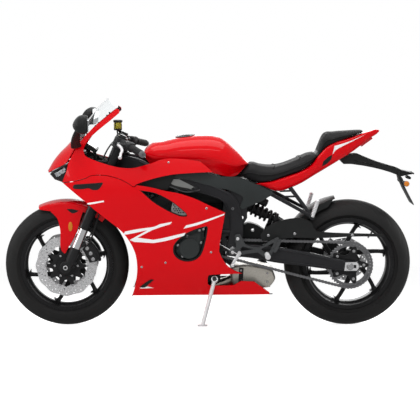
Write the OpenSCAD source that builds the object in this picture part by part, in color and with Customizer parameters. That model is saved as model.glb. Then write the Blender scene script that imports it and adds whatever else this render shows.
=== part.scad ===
// Sport bike parked on its side stand, millimetres.
// The machine's own upright frame has the front at -X, its left side at -Y and up at +Z,
// with X = 0 midway between the axles and Z = 0 on the ground. park() leans it onto the stand.

/* [Overall] */
// Distance between the wheel axles
wheelbase = 1380; // [1150:5:1660]
// Half of the fairing's width at its shoulder
fairing_half_width = 235; // [200:1:285]
// Lean to the left while parked, in degrees
lean = 9; // [7:0.5:11]

/* [Front wheel and steering] */
// Front tyre's outer radius
front_tyre_r = 303; // [295:1:310]
// Front tyre's width
front_tyre_w = 120; // [100:1:144]
// Steering axis angle from the vertical, in degrees
rake = 23; // [22:0.5:24]
// Fork legs' distance ahead of the steering axis
fork_offset = 30; // [26:1:36]
// Axle's distance ahead of the fork legs
axle_lead = 10; // [4:1:14]
// Radius of the fork's outer tubes
fork_outer_r = 27; // [22:0.5:33]
// Radius of the steering stem
stem_r = 15; // [12:0.5:18]
// Radius of the front axle
front_axle_r = 11; // [9:0.5:14]
// Front brake discs' outer radius
front_disc_r = 150; // [125:1:160]
// Thickness of a front brake disc
disc_t = 5; // [4:0.5:6]
// Radius of the handlebar tubes
bar_r = 11; // [9:0.5:13]
// Sideways reach of each handlebar from its clamp
bar_reach = 238; // [200:1:285]

/* [Rear wheel and swingarm] */
// Rear tyre's outer radius
rear_tyre_r = 312; // [300:1:320]
// Rear tyre's width
rear_tyre_w = 160; // [134:1:192]
// Radius of the rear axle
rear_axle_r = 12.5; // [10:0.5:15]
// Rear sprocket's teeth
sprocket_teeth = 44; // [40:2:48]
// Thickness of each swingarm arm
arm_t = 32; // [26:1:38]
// Radius of the swingarm's pivot tube
pivot_tube_r = 22; // [18:0.5:26]
// Radius of the swingarm's pivot bolt
pivot_bolt_r = 10; // [8:0.5:12]

/* [Side stand] */
// Length of the side stand from its pivot to its foot
stand_length = 235; // [228:1:245]
// Radius of the side stand's leg
stand_r = 10; // [8:0.5:12]
// Radius of the side stand's pivot bolt
stand_bolt_r = 6; // [5:0.5:8]

/* [Panels] */
// Thickness of the fairing panels
panel_t = 4; // [3:0.5:5]
// Thickness of the windscreen
screen_t = 3; // [2.5:0.5:4]

/* [Hidden] */

$fn = 64;
fit = 0.3;        // gap between seated pieces
running = 0.05;   // radial clearance of a shaft in its bore
wheel_gap = 12;   // gap between a tyre and its mudguard
side_gap = 5;     // least gap between moving pieces, side by side
chain_pitch = 15.875;
chain_h = 15;     // height of the chain's side plates
chain_w = 17;     // width over the chain's pins

// ---- Places: x runs through at(), which spreads the machine's two ends as the wheelbase grows ----
base_wheelbase = 1380;
middle = 150;     // half length of the zone that stretches
function at(x) = x + (wheelbase - base_wheelbase) / 2 * max(-1, min(1, x / middle));
taper_x = [[-790, 0.1], [-740, 0.36], [-690, 0.56], [-640, 0.7], [-560, 0.84], [-460, 0.94], [-340, 1],
    [-150, 1], [50, 1], [200, 0.95], [330, 0.85]];
taper_z = [[155, 0.5], [220, 0.6], [300, 0.74], [420, 0.84], [560, 0.95], [640, 1], [720, 0.98],
    [800, 0.89], [860, 0.79], [930, 0.68], [1085, 0.5]];
function side(x, z) = fairing_half_width * lookup(x, taper_x) * lookup(z, taper_z);

front_axle = [at(-690), 0, front_tyre_r];
rear_axle = [at(690), 0, rear_tyre_r];
up_axis = [sin(rake), 0, cos(rake)];
ahead = [-cos(rake), 0, sin(rake)];
steer_foot = front_axle - (fork_offset + axle_lead) * ahead;

front_disc_y = front_tyre_w / 2 + 4;
leg_to_disc = 11;
fork_half = front_disc_y + disc_t / 2 + leg_to_disc + fork_outer_r;
lug_half = 22;    // half width of the fork's axle lugs

// Heights along the steering axis
lower_clamp = [440, 466];
head_tube = [474, 626];
upper_clamp = [634, 652];
bar_clamp = [656, 684];
leg_top = 694;
clamp_wall = 9;
head_wall = 14;

bar_start = steer_foot + 670 * up_axis + fork_offset * ahead + [0, fork_half, 0];
bar_sweep = 112;
bar_drop = 45;
bar_end = bar_start + [bar_sweep, bar_reach, -bar_drop];
function on_bar(t) = bar_start + t * (bar_end - bar_start);

chain_y = rear_tyre_w / 2 + 14;
arm_in = chain_y + chain_w / 2 + side_gap;
arm_y = arm_in + arm_t / 2;
plate_t = 16;     // thickness of the frame's pivot plates
plate_y = arm_in + arm_t + 3 + plate_t / 2;
pivot = [at(120), 0, 398];
drive = [at(25), 0, 403];       // output sprocket's centre
drive_teeth = 14;
function pitch_r(n) = chain_pitch / (2 * sin(180 / n));
rear_disc_y = rear_tyre_w / 2 + 13;
rear_disc_r = 110;

// Parking: the tyres' crowns roll as the machine leans, so it sits this much higher
rear_crown_r = rear_tyre_w / 2;
park_lift = rear_crown_r * (1 - cos(lean));
park_shift = 156;

// Side stand: its direction when down and when folded, in the upright frame
stand_pivot = [at(33), -143, 248];
stand_foot_t = 9;
pivot_height = stand_pivot.y * sin(lean) + stand_pivot.z * cos(lean) + park_lift;
stand_ahead = 60;
stand_fall = pivot_height - stand_foot_t / 2;
stand_out = sqrt(stand_length * stand_length - stand_ahead * stand_ahead - stand_fall * stand_fall);
down_parked = [-stand_ahead, -stand_out, -stand_fall] / stand_length;
stand_down = [down_parked.x, down_parked.y * cos(lean) + down_parked.z * sin(lean),
    -down_parked.y * sin(lean) + down_parked.z * cos(lean)];
folded = [0.995, -0.09, 0.04];
stand_folded = folded / norm(folded);
stand_cross = cross(stand_down, stand_folded);
stand_axis = stand_cross / norm(stand_cross);
stand_side = cross(stand_axis, stand_down);
stand_eye_r = 16;
stand_eye_t = 2 * stand_r + 2;

// ---- Shared shapes ----
module park() translate([0, park_shift, park_lift]) rotate([lean, 0, 0]) children();
module unpark() rotate([-lean, 0, 0]) translate([0, -park_shift, -park_lift]) children();
module both_sides() { children(); mirror([0, 1, 0]) children(); }
module on_steering() translate(steer_foot) rotate([0, rake, 0]) children();

// Round bar from a to b, g fatter and longer all round
module rod(a, b, r, g = 0) {
    d = b - a;
    translate(a) rotate([0, acos(d.z / norm(d)), atan2(d.y, d.x)])
        translate([0, 0, -g]) cylinder(h = norm(d) + 2 * g, r = r + g);
}

// Cylinder across the machine between y0 and y1
module across(x, z, y0, y1, r, g = 0)
    translate([x, y0 - g, z]) rotate([-90, 0, 0]) cylinder(h = y1 - y0 + 2 * g, r = r + g);

// Plate with an outline in the XZ plane, between y0 and y1
module plate(outline, y0, y1)
    translate([0, y1, 0]) rotate([90, 0, 0]) linear_extrude(height = y1 - y0) polygon(outline);

// Solid skinned over a list of rings that all hold the same number of points; a shell's rings run
// out along one face and back along the other, so their ends are closed by strips
module skin(rings, shell = false) {
    n = len(rings[0]);
    m = len(rings);
    last = (m - 1) * n;
    points = [for (ring = rings) for (p = ring) p];
    walls = [for (i = [0 : m - 2]) for (j = [0 : n - 1]) let (k = (j + 1) % n, a = i * n, b = a + n)
        each [[a + j, b + j, b + k], [a + j, b + k, a + k]]];
    fan = [for (j = [1 : n - 2]) each [[0, j, j + 1], [last, last + j + 1, last + j]]];
    strip = [for (j = [0 : n / 2 - 2]) let (k = n - 1 - j, q = last + j, r = last + k)
        each [[k, j, j + 1], [k, j + 1, k - 1], [r, q + 1, q], [r, r - 1, q + 1]]];
    polyhedron(points = points, faces = concat(walls, shell ? strip : fan), convexity = 6);
}

// Box beam along points [x, y, z, height, thickness]; its height lies in the XZ plane
function beam_normal(path, i) = let (a = path[max(i - 1, 0)], b = path[min(i + 1, len(path) - 1)],
    d = [b[0] - a[0], b[2] - a[2]]) [-d.y, d.x] / norm(d);
function beam_ring(p, n) = [for (c = [[-1, -1], [-1, 1], [1, 1], [1, -1]])
    [p[0] + n.x * c.x * p[3] / 2, p[1] + c.y * p[4] / 2, p[2] + n.y * c.x * p[3] / 2]];
module beam(path) skin([for (i = [0 : len(path) - 1]) beam_ring(path[i], beam_normal(path, i))]);

// Round tube's solid core along a path in any direction, with 8 sides
function along(path, i) = let (d = path[min(i + 1, len(path) - 1)] - path[max(i - 1, 0)]) d / norm(d);
function tube_ring(c, t, r) = let (u0 = cross(t, [0, 1, 0]), u = u0 / norm(u0), v = cross(t, u))
    [for (k = [0 : 7]) c + r * cos(45 * k) * u + r * sin(45 * k) * v];
module tube(path, r) skin([for (i = [0 : len(path) - 1]) tube_ring(path[i], along(path, i), r)]);

// Body section across the machine at x: chamfered rectangle z0 to z1, half width w
function body_ring(x, w, z0, z1, c) = [[x, -w + c, z0], [x, w - c, z0], [x, w, z0 + c], [x, w, z1 - c],
    [x, w - c, z1], [x, -w + c, z1], [x, -w, z1 - c], [x, -w, z0 + c]];
// Rounded section: flat underside at z0, crowned top at z1
function crown_ring(x, w, z0, z1) = concat([[x, -w * 0.8, z0], [x, w * 0.8, z0]],
    [for (a = [-15 : 15 : 195]) [x, w * cos(a), z0 + (z1 - z0) * (0.35 + 0.65 * sin(max(a < 90 ? a : 180 - a, -15)))]]);

// Thin fairing wall of thickness panel_t that follows side(), over a grid of x and z
wall_x = [for (t = taper_x) t[0]];
wall_z = [for (t = taper_z) t[0]];
module fairing_wall(t) {
    n = len(wall_z);
    m = len(wall_x);
    outer = [for (x = wall_x) for (z = wall_z) [at(x), -side(x, z), z]];
    inner = [for (x = wall_x) for (z = wall_z) [at(x), -side(x, z) + t, z]];
    o = n * m;
    grid = [for (i = [0 : m - 2]) for (j = [0 : n - 2]) let (a = i * n + j, b = a + n)
        each [[a, b + 1, b], [a, a + 1, b + 1], [o + a, o + b, o + b + 1], [o + a, o + b + 1, o + a + 1]]];
    rows = [for (i = [0 : m - 2]) let (a = i * n, b = a + n, c = a + n - 1, d = c + n)
        each [[a, o + b, o + a], [a, b, o + b], [c, o + c, o + d], [c, o + d, d]]];
    columns = [for (j = [0 : n - 2]) let (a = j, c = (m - 1) * n + j)
        each [[a, o + a + 1, a + 1], [a, o + a, o + a + 1], [c, c + 1, o + c + 1], [c, o + c + 1, o + c]]];
    polyhedron(points = concat(outer, inner), faces = concat(grid, rows, columns), convexity = 8);
}
function placed(outline) = [for (p = outline) [at(p.x), p.y]];

// ---- Wheels ----
bead = 219;       // radius of both rims' bead seats
flange_h = 9;
flange_t = 6;

module tyre_half(r, w, rim_w, wall) {
    c = r - w / 2;
    shoulder = max(c + 8, bead + flange_h + 8);
    intersection() {
        translate([c, 0]) circle(w / 2 - wall);
        polygon([[bead, -rim_w / 2 + wall], [bead, rim_w / 2 - wall], [bead + flange_h, rim_w / 2 - wall],
            [shoulder, w / 2], [r, w / 2], [r, -w / 2], [shoulder, -w / 2], [bead + flange_h, -rim_w / 2 + wall]]);
    }
}
module tyre(r, w, rim_w) rotate([90, 0, 0]) rotate_extrude($fn = 96) difference() {
    tyre_half(r, w, rim_w, 0);
    tyre_half(r, w, rim_w, 10);
    translate([bead - 1, -rim_w / 2 + 10]) square([3, rim_w - 20]);
}

rim_in = 204;
rim_well = 199;
module rim(rim_w) {
    h = rim_w / 2 + fit + flange_t;
    seat = bead - fit;
    rotate([90, 0, 0]) rotate_extrude($fn = 96) polygon([[rim_in, -h], [bead + flange_h - 1, -h],
        [bead + flange_h - 1, -h + flange_t], [seat, -h + flange_t], [seat, -h + 20], [rim_well, -h + 26],
        [rim_well, h - 26], [seat, h - 20], [seat, h - flange_t], [bead + flange_h - 1, h - flange_t],
        [bead + flange_h - 1, h], [rim_in, h], [rim_in, h - 8], [rim_well - 6, h - 30],
        [rim_well - 6, -h + 30], [rim_in, -h + 8]]);
}

spokes = 6;
spoke_off = 58;   // each spoke's line passes this far from the wheel's centre
module spoke(t) {
    reach = rim_well - 3;
    function rim_point(v) = [sqrt(reach * reach - v * v), v];
    rotate([90, 0, 0]) linear_extrude(height = t, center = true)
        polygon([[0, spoke_off - 24], [60, spoke_off - 15], [120, spoke_off - 10], [165, spoke_off - 12],
            rim_point(spoke_off - 36), rim_point(spoke_off), rim_point(spoke_off + 26), [165, spoke_off + 10],
            [120, spoke_off + 8], [60, spoke_off + 7], [0, spoke_off]]);
}
module cast_wheel(rim_w, hub_r, y0, y1, axle_r, end_r) difference() {
    union() {
        rim(rim_w);
        for (i = [0 : spokes - 1]) rotate([0, i * 360 / spokes, 0]) spoke(26);
        across(0, 0, -36, 36, hub_r);
        across(0, 0, y0, y1, end_r);
    }
    across(0, 0, y0 - 1, y1 + 1, axle_r + running);
}

module disc(r, band, y, t, bore) {
    hub = bore + 28;
    window = (r - band - hub) / 2 - 2;
    difference() {
        across(0, 0, y - t / 2, y + t / 2, r);
        across(0, 0, y - t, y + t, bore);
        for (i = [0 : 5]) rotate([0, 60 * i + 15, 0])
            across((r - band + hub) / 2, 0, y - t, y + t, window);
    }
}

front_rim_w = front_tyre_w - 31;
rear_rim_w = rear_tyre_w - 46;
module front_tyre() color([0.06, 0.06, 0.06]) translate(front_axle) tyre(front_tyre_r, front_tyre_w, front_rim_w);
module rear_tyre() color([0.06, 0.06, 0.06]) translate(rear_axle) tyre(rear_tyre_r, rear_tyre_w, rear_rim_w);
front_hub_end = front_disc_y - disc_t / 2;
module front_wheel() color([0.03, 0.03, 0.03]) translate(front_axle)
    cast_wheel(front_rim_w, 62, -front_hub_end, front_hub_end, front_axle_r, 34);
module front_discs() color([0.7, 0.7, 0.7]) translate(front_axle) both_sides()
    disc(front_disc_r, 36, -front_disc_y, disc_t, front_axle_r + 12);
sprocket_t = 6;
rear_hub_left = chain_y - sprocket_t / 2;
rear_hub_right = rear_disc_y - disc_t / 2;
module rear_wheel() color([0.03, 0.03, 0.03]) translate(rear_axle)
    cast_wheel(rear_rim_w, 66, -rear_hub_left, rear_hub_right, rear_axle_r, 42);
module rear_sprocket() color([0.5, 0.5, 0.5]) translate(rear_axle)
    disc(pitch_r(sprocket_teeth) - chain_h / 2 - 0.6, 24, -chain_y, sprocket_t, rear_axle_r + 14);
module rear_disc() color([0.7, 0.7, 0.7]) translate(rear_axle)
    disc(rear_disc_r, 34, rear_disc_y, disc_t, rear_axle_r + 12);

// ---- Steering ----
module clamp_plate(z0, z1) translate([0, 0, z0]) hull() {
    cylinder(h = z1 - z0, r = head_wall + stem_r);
    for (s = [-1, 1]) translate([-fork_offset, s * fork_half, 0])
        cylinder(h = z1 - z0, r = fork_outer_r + clamp_wall);
}
module triple_clamps() color([0.08, 0.08, 0.08]) on_steering() difference() {
    union() {
        clamp_plate(lower_clamp[0], lower_clamp[1]);
        clamp_plate(upper_clamp[0], upper_clamp[1]);
        translate([0, 0, lower_clamp[0]]) cylinder(h = upper_clamp[1] - lower_clamp[0], r = stem_r);
        translate([0, 0, upper_clamp[1]]) cylinder(h = 8, r = stem_r + 4);
    }
    translate([0, 0, lower_clamp[0] - 1]) cylinder(h = upper_clamp[1] - lower_clamp[0] + 20, r = stem_bore_r);
    for (s = [-1, 1]) translate([-fork_offset, s * fork_half, lower_clamp[0] - 1])
        cylinder(h = 300, r = fork_outer_r + running);
}
stem_bore_r = 8;

slider_r = 20.5;
slider_top = 215;
lug_top = 105;
axle_bore_r = 7;
axle_end = fork_half + lug_half + 4;
module left_leg(g = 0) {
    on_steering() translate([-fork_offset, -fork_half, -g]) {
        translate([0, 0, slider_top - 8]) cylinder(h = leg_top - slider_top + 8 + 2 * g, r = fork_outer_r + g);
        translate([0, 0, lug_top - 15]) cylinder(h = slider_top - lug_top + 20, r = slider_r + g);
        cylinder(h = lug_top + 2 * g, r = slider_r + 4 + g);
    }
    across(front_axle.x, front_axle.z, -fork_half - lug_half, -fork_half + lug_half, slider_r + 7, g);
}
module fork_legs() color([0.05, 0.05, 0.05]) difference() {
    union() {
        both_sides() left_leg();
        across(front_axle.x, front_axle.z, -axle_end, axle_end, front_axle_r);
    }
    across(front_axle.x, front_axle.z, -axle_end - 1, axle_end + 1, axle_bore_r);
}

// Radial-mount calipers: a bridge over each disc, behind the leg
caliper_angle = 28;
caliper_r = front_disc_r + 8;
module caliper(r, t_disc, inner, outer, length) difference() {
    translate([r - 46, -outer, -length / 2]) cube([62, inner + outer, length]);
    translate([r - 60, -t_disc / 2 - side_gap, -length]) cube([60 - 46 + 52, t_disc + 2 * side_gap, 2 * length]);
}
module front_calipers() color([0.08, 0.08, 0.08]) both_sides() difference() {
    union() {
        translate(front_axle + [0, -front_disc_y, 0]) rotate([0, -caliper_angle, 0])
            caliper(caliper_r, disc_t, 24, 30, 96);
        rod(leg_point(98), caliper_foot, 9);
    }
    left_leg(fit);
    left_hose(fit);
}
function leg_point(s) = steer_foot + s * up_axis + fork_offset * ahead - [0, fork_half, 0];
caliper_foot = front_axle + [(caliper_r - 16) * cos(caliper_angle) - 55 * sin(caliper_angle), -fork_half + 6,
    (caliper_r - 16) * sin(caliper_angle) + 55 * cos(caliper_angle)];

fender_in = front_tyre_r + wheel_gap;
fender_w = front_disc_y + disc_t / 2 + side_gap;
fender_t = 3;
function polar(r, a, y) = front_axle + [r * cos(a), y, r * sin(a)];
skirt_outline = [[-109, 289], [-67, 263], [-38, 229], [-27, 180], [-29, 117], [-22, 77], [-7, 61], [18, 107],
    [62, 112], [88, 172], [66, 192], [86, 257], [90, 287], [40, 297], [-30, 297]];
module front_fender() color([0.8, 0.02, 0.03]) difference() {
    union() {
        skin([for (a = [58 : 7 : 128]) fender_ring(a)], true);
        both_sides() {
            plate([for (p = skirt_outline) p + [front_axle.x, front_axle.z]], -fender_w - fender_t, -fender_w);
            fender_pin();
        }
    }
    both_sides() left_leg(fit);
}
fender_section = [[-30, 1], [-5, 1], [3, 0.6], [5, 0]];
function fender_side(a, t, s) = [for (p = fender_section) polar(fender_in + p[0] + (p[1] < 1 ? t : 0), a,
    s * (p[1] * fender_w + (p[1] == 1 ? t : 0)))];
function reversed(list) = [for (i = [len(list) - 1 : -1 : 0]) list[i]];
function fender_ring(a) = concat(fender_side(a, fender_t, -1), fender_tail(fender_side(a, fender_t, 1)),
    fender_side(a, 0, 1), fender_tail(fender_side(a, 0, -1)));
function fender_tail(list) = [for (i = [len(list) - 2 : -1 : 0]) list[i]];
module fender_pin() for (s = [135, 175])
    across(leg_point(s).x, leg_point(s).z, -fork_half + 10, -fender_w - 1, 7);

grip_r = 17;
module handlebar_clamp() on_steering() translate([-fork_offset, -fork_half, bar_clamp[0]])
    difference() {
        cylinder(h = bar_clamp[1] - bar_clamp[0], r = fork_outer_r + 8);
        translate([0, 0, -1]) cylinder(h = 60, r = fork_outer_r + running);
    }
function mirrored(p) = [p.x, -p.y, p.z];
function left_bar(t) = mirrored(on_bar(t));
module handlebars() color([0.07, 0.07, 0.07]) both_sides() {
    handlebar_clamp();
    rod(left_bar(bar_root), left_bar(0.9), bar_r);
    rod(left_bar(0.3), left_bar(0.46), 24);
    rod(left_bar(0.5), left_bar(0.94), grip_r);
    difference() {
        rod(left_bar(0.93), left_bar(1), grip_r - 2);
        rod(left_bar(1 - bar_hole_depth / bar_length), left_bar(1.02), bar_hole_r);
    }
}
bar_length = norm(bar_end - bar_start);
bar_root = (fork_outer_r + 4) / bar_length;
bar_hole_r = 3.4;
bar_hole_depth = 15;
lever_pivot = left_bar(0.36) + [-48, 0, 6];
lever_tip = left_bar(0.93) + [-100, 4, -18];
module perch(g = 0) rod(left_bar(0.36) + [-14, 0, 3], lever_pivot, 8, g);
module hand_levers() color([0.75, 0.75, 0.75]) both_sides() difference() {
    union() {
        perch();
        rod(lever_pivot + [0, 8, 0], lever_tip, 6);
        translate(lever_tip) sphere(r = 9);
    }
    rod(left_bar(0.3), left_bar(0.46), 24, fit);
    mirror([0, 1, 0]) master_hose(fit);
}
reservoir_base = mirrored(left_bar(0.04)) + [-29, 1, 41];
module reservoir_pin(g = 0) rod(mirrored(left_bar(0.36)), reservoir_base + [0, 0, 4], 6, g);
module fluid_reservoir() color([0.6, 0.55, 0.1]) difference() {
    union() {
        reservoir_pin();
        translate(reservoir_base) cylinder(h = 40, r = 21);
        translate(reservoir_base + [0, 0, 40]) cylinder(h = 10, r = 23);
    }
    rod(mirrored(left_bar(0.3)), mirrored(left_bar(0.46)), 24, fit);
    rod(mirrored(left_bar(bar_root)), mirrored(left_bar(0.9)), bar_r, fit);
}

// Brake hoses: up behind each leg to a junction ahead of the lower clamp, then to the master cylinder
hose_r = 4;
hose_low = [[-585, -88, 405], [-566, -100, 440], [-550, -98, 490], [-524, -92, 570], [-508, -86, 620],
    [-516, -75, 645], [-526, -62, 666], [-538, -34, 678], [-544, 0, 680]];
hose_high = [[-544, 0, 680], [-556, 30, 690], [-548, 52, 730], [-526, 62, 790], [-504, 76, 842], [-488, 98, 870],
    [-470, 128, 892], [-448, 154, 904], [-430, 170, 908]];
hose_shift = [[620, 1.1], [660, -1]];
function hose_at(p, s) = [p.x + 690 + front_axle.x + (fork_outer_r - 27) * lookup(p.z, hose_shift),
    s * p.y * fork_half / 104.5, p.z];
module left_hose(g = 0) tube([for (p = hose_low) hose_at(p, 1)], hose_r + g);
module master_hose(g = 0) tube([for (p = hose_high) hose_at(p, 1)], hose_r + g);
module brake_hoses() color([0.05, 0.05, 0.05]) {
    both_sides() left_hose();
    master_hose();
    translate(hose_at(hose_high[0], 1)) sphere(r = 9, $fn = 24);
}

// ---- Chassis ----
spar_t = 26;
spar_y = 158;
function head_point(s) = steer_foot + s * up_axis;
spar_path = [[head_point(555).x + 10, -40, head_point(555).z, 110, 30], [at(-330), -96, 785, 84, spar_t],
    [at(-193), -spar_y, 728, 56, spar_t], [at(-60), -spar_y, 702, 50, spar_t], [at(20), -spar_y, 682, 50, spar_t],
    [at(95), -spar_y, 645, 54, spar_t], [at(124), -plate_y, 590, 58, plate_t], [at(136), -plate_y, 500, 64, plate_t],
    [at(122), -plate_y, pivot.z - 34, 74, plate_t]];
tank_mounts = [[at(-170), 736], [at(70), 668]];
rear_bolt = [at(60), 484];
module frame() color([0.05, 0.05, 0.05]) difference() {
    union() {
        on_steering() translate([0, 0, head_tube[0]]) cylinder(h = head_tube[1] - head_tube[0], r = stem_r + head_wall + 3);
        both_sides() spar();
        tank_tubes();
        for (p = tank_mounts) both_sides() tank_peg(p);
        across(pivot.x, pivot.z, -plate_y, plate_y, pivot_bolt_r);
        across(at(140), 560, -plate_y, plate_y, 14);
        shock_top_eye();
        both_sides() {
            rod([at(-150), -spar_y, 712], [at(-150), -spar_y, 632], 12);
            subframe_end();
            engine_peg();
        }
        both_sides() fairing_stays();
        stand_bracket();
    }
    on_steering() translate([0, 0, head_tube[0] - 1]) cylinder(h = 200, r = stem_r + running);
    both_sides() subframe_rail(fit);
    both_sides() footrest_bolts(fit);
    both_sides() cover_pins(fit);
    stay_bolts(fit);
}
module spar(g = 0) beam([for (p = spar_path) [p[0], p[1], p[2], p[3] + 2 * g, p[4] + 2 * g]]);
module tank_tubes(g = 0) for (p = tank_mounts) across(p.x, p.y, -spar_y, spar_y, 12, g);
module tank_peg(p, g = 0) rod([p.x, -80, p.y], [p.x, -80, 800], 8, g);
module engine_peg(g = 0) {
    rod([at(-150), -spar_y, 640], [at(-150), -110, 640], 9, g);
    rod([rear_bolt.x, -plate_y, rear_bolt.y], [rear_bolt.x, -60, rear_bolt.y], 9, g);
    rod([rear_bolt.x, -plate_y, rear_bolt.y], [at(110), -plate_y, rear_bolt.y], 7.9, g);
}
module fairing_stays(g = 0) {
    rod([at(-60), -spar_y, 700], [at(-60), -side(-60, 700) + panel_t / 2, 700], 8, g);
    rod([at(-300), -110, 770], [at(-300), -side(-300, 770) + panel_t / 2, 770], 8, g);
}
stand_cheek = stand_eye_t / 2 + 0.5;
module stand_bracket(g = 0) {
    foot = stand_pivot - 36 * stand_axis;
    knee = [at(78), -122, 330];
    rod(stand_pivot - (stand_cheek + 8) * stand_axis, stand_pivot - stand_cheek * stand_axis, 19, g);
    rod(stand_pivot - stand_cheek * stand_axis, stand_pivot + (stand_cheek + 4) * stand_axis, stand_bolt_r, g);
    rod(stand_pivot + stand_cheek * stand_axis, stand_pivot + (stand_cheek + 4) * stand_axis, stand_bolt_r + 5, g);
    rod(stand_pivot - (stand_cheek + 1) * stand_axis, foot, 14, g);
    rod(foot, knee, 10, g);
    translate(knee) sphere(r = 12 + g);
    rod(knee, [at(112), -plate_y, 384], 9, g);
}
module side_stand() color([0.75, 0.75, 0.75]) {
    difference() {
        union() {
            rod(stand_pivot - stand_eye_t / 2 * stand_axis, stand_pivot + stand_eye_t / 2 * stand_axis, stand_eye_r);
            rod(stand_pivot, stand_pivot + stand_length * stand_down, stand_r);
        }
        rod(stand_pivot - stand_eye_t * stand_axis, stand_pivot + stand_eye_t * stand_axis, stand_bolt_r + running);
        unpark() translate([-500, -1000, -200]) cube([1000, 1000, 200]);
    }
    unpark() translate([stand_pivot.x - stand_ahead, park_shift + stand_pivot.y * cos(lean)
        - stand_pivot.z * sin(lean) - stand_out, 0]) difference() {
        cylinder(h = stand_foot_t, r = 24);
        translate([0, 0, stand_foot_t / 2]) cylinder(h = 20, r = 1);
    }
}

rail_path = [[at(84), -104, 690, 30, 20], [at(200), -104, 694, 30, 20], [at(320), -100, 700, 28, 20],
    [at(450), -88, 738, 26, 18], [at(560), -74, 800, 24, 16], [at(660), -60, 862, 22, 14]];
module subframe_rail(g = 0) beam([for (p = rail_path) [p[0], p[1], p[2], p[3] + 2 * g, p[4] + 2 * g]]);
module subframe_end(g = 0) rod([at(100), -104, 690], [at(100), -spar_y, 650], 9, g);
module subframe() color([0.05, 0.05, 0.05]) difference() {
    union() {
        both_sides() subframe_rail();
        across(at(330), 702, -104, 104, 9);
        across(at(600), 824, -72, 72, 8);
    }
    both_sides() hanger_struts(fit);
}

engine_tilt = 24;
engine_half = fairing_half_width * 0.638;
cylinder_half = engine_half - 12;
module engine() color([0.12, 0.12, 0.12]) difference() {
    union() {
        translate([at(-215), -engine_half, 330]) cube([at(-25) - at(-215), 2 * engine_half, 145]);
        translate([at(-200), -118, 236]) cube([at(60) - at(-200), 236, 96]);
        translate([at(-30), -78, 330]) cube([at(88) - at(-30), 198, 172]);
        translate([at(-205), -cylinder_half, 465]) rotate([0, -engine_tilt, 0]) cube([150, 2 * cylinder_half, 185]);
        both_sides() muffler_pin();
        across(drive.x, drive.z, -chain_y - 3, -70, 16);
        across(drive.x, drive.z, -chain_y - 3, -chain_y + 3, pitch_r(drive_teeth) - chain_h / 2 - 0.6);
    }
    both_sides() engine_peg(fit);
    header_stubs(fit);
    stand_bracket(fit);
}
cover_t = 26;
module engine_covers() color([0.12, 0.13, 0.14]) {
    both_sides() translate([0, -engine_half - cover_t - fit, 0]) rotate([-90, 0, 0]) linear_extrude(height = cover_t) hull() {
        translate([at(-88), -414]) circle(66);
        translate([at(-52), -462]) circle(34);
    }
    translate([at(-25) + fit, -chain_y - 41, 352]) cube([at(70) - at(-25), 30, 100]);
}

radiator_x = -300;
module radiator() color([0.1, 0.1, 0.1]) difference() {
    union() {
        translate([at(radiator_x) - 26, -cylinder_half + 3, 370]) rotate([0, -8, 0])
            cube([26, 2 * cylinder_half - 6, 230]);
        both_sides() rod([at(radiator_x) - 32, -68, 560], [at(-215), -68, 560], 8);
    }
    translate([at(-205), -cylinder_half, 465]) rotate([0, -engine_tilt, 0]) translate([-fit, -1, 0])
        cube([150, 2 * cylinder_half + 2, 185]);
}

header_y = [-102, -34, 34, 102];
function port(y) = [at(-262), y, 545];
module header_stub(y, g = 0) rod(port(y) + [-10, 0, -5], port(y) + [40, 0, 18], 21, g);
module header_stubs(g = 0) for (y = header_y) header_stub(y, g);
module exhaust_headers() color([0.6, 0.58, 0.55]) {
    header_stubs();
    for (y = header_y) tube([port(y) + [8, 0, 4], port(y) + [-13, 0, -18], [at(-278), y * 0.95, 490],
        [at(-276), y * 0.9, 400], [at(-266), y * 0.8, 300], [at(-240), y * 0.7, 235], [at(-200), y * 0.6, 206],
        [at(-100), y * 0.5, 198], [at(20), y * 0.45, 200]], 16);
    translate([at(0), -62, 180]) cube([at(110) - at(0), 124, 44]);
    rod([at(100), 0, 212], [at(150), 0, 235], 26);
}
muffler_low = -fairing_half_width * 0.315;
muffler_high = fairing_half_width * 0.4255;
module muffler() color([0.45, 0.45, 0.42]) difference() {
    union() {
        plate(placed([[116, 300], [180, 306], [252, 302], [318, 286], [334, 236], [301, 192], [256, 200],
            [180, 205], [120, 210]]), muffler_low, muffler_high);
        rod([at(258), muffler_high - 10, 262], [at(280), muffler_high + 36, 284], 28);
    }
    rod([at(100), 0, 212], [at(150), 0, 235], 26, fit);
    rod([at(260), muffler_high - 5, 264], [at(285), muffler_high + 47, 289], 23);
    both_sides() muffler_pin(fit);
}
module muffler_pin(g = 0) rod([at(70), -58, 340], [at(145), -58, 288], 8, g);

// ---- Tank, seats and tail ----
tank_sections = [[-306, 86, 842, 868], [-283, 100, 806, 893], [-209, 122, 782, 914], [-136, 136, 775, 934],
    [-37, 142, 775, 942], [36, 142, 766, 939], [71, 138, 752, 929],
    [110, 124, 748, 900], [150, 104, 764, 862], [190, 76, 808, 816]];
module fuel_tank() color([0.8, 0.02, 0.03]) difference() {
    skin([for (s = tank_sections) crown_ring(at(s[0]), s[1], s[2], s[3])]);
    for (p = tank_mounts) both_sides() tank_peg(p, fit);
    fuel_cap_at() translate([0, 0, -10]) cylinder(h = 40, r = 52 + fit);
}
module fuel_cap_at() translate([at(-110), 0, 936]) rotate([0, -5, 0]) children();
module fuel_cap() color([0.1, 0.1, 0.1]) fuel_cap_at() translate([0, 0, -10 + fit]) cylinder(h = 16, r = 52);

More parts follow.
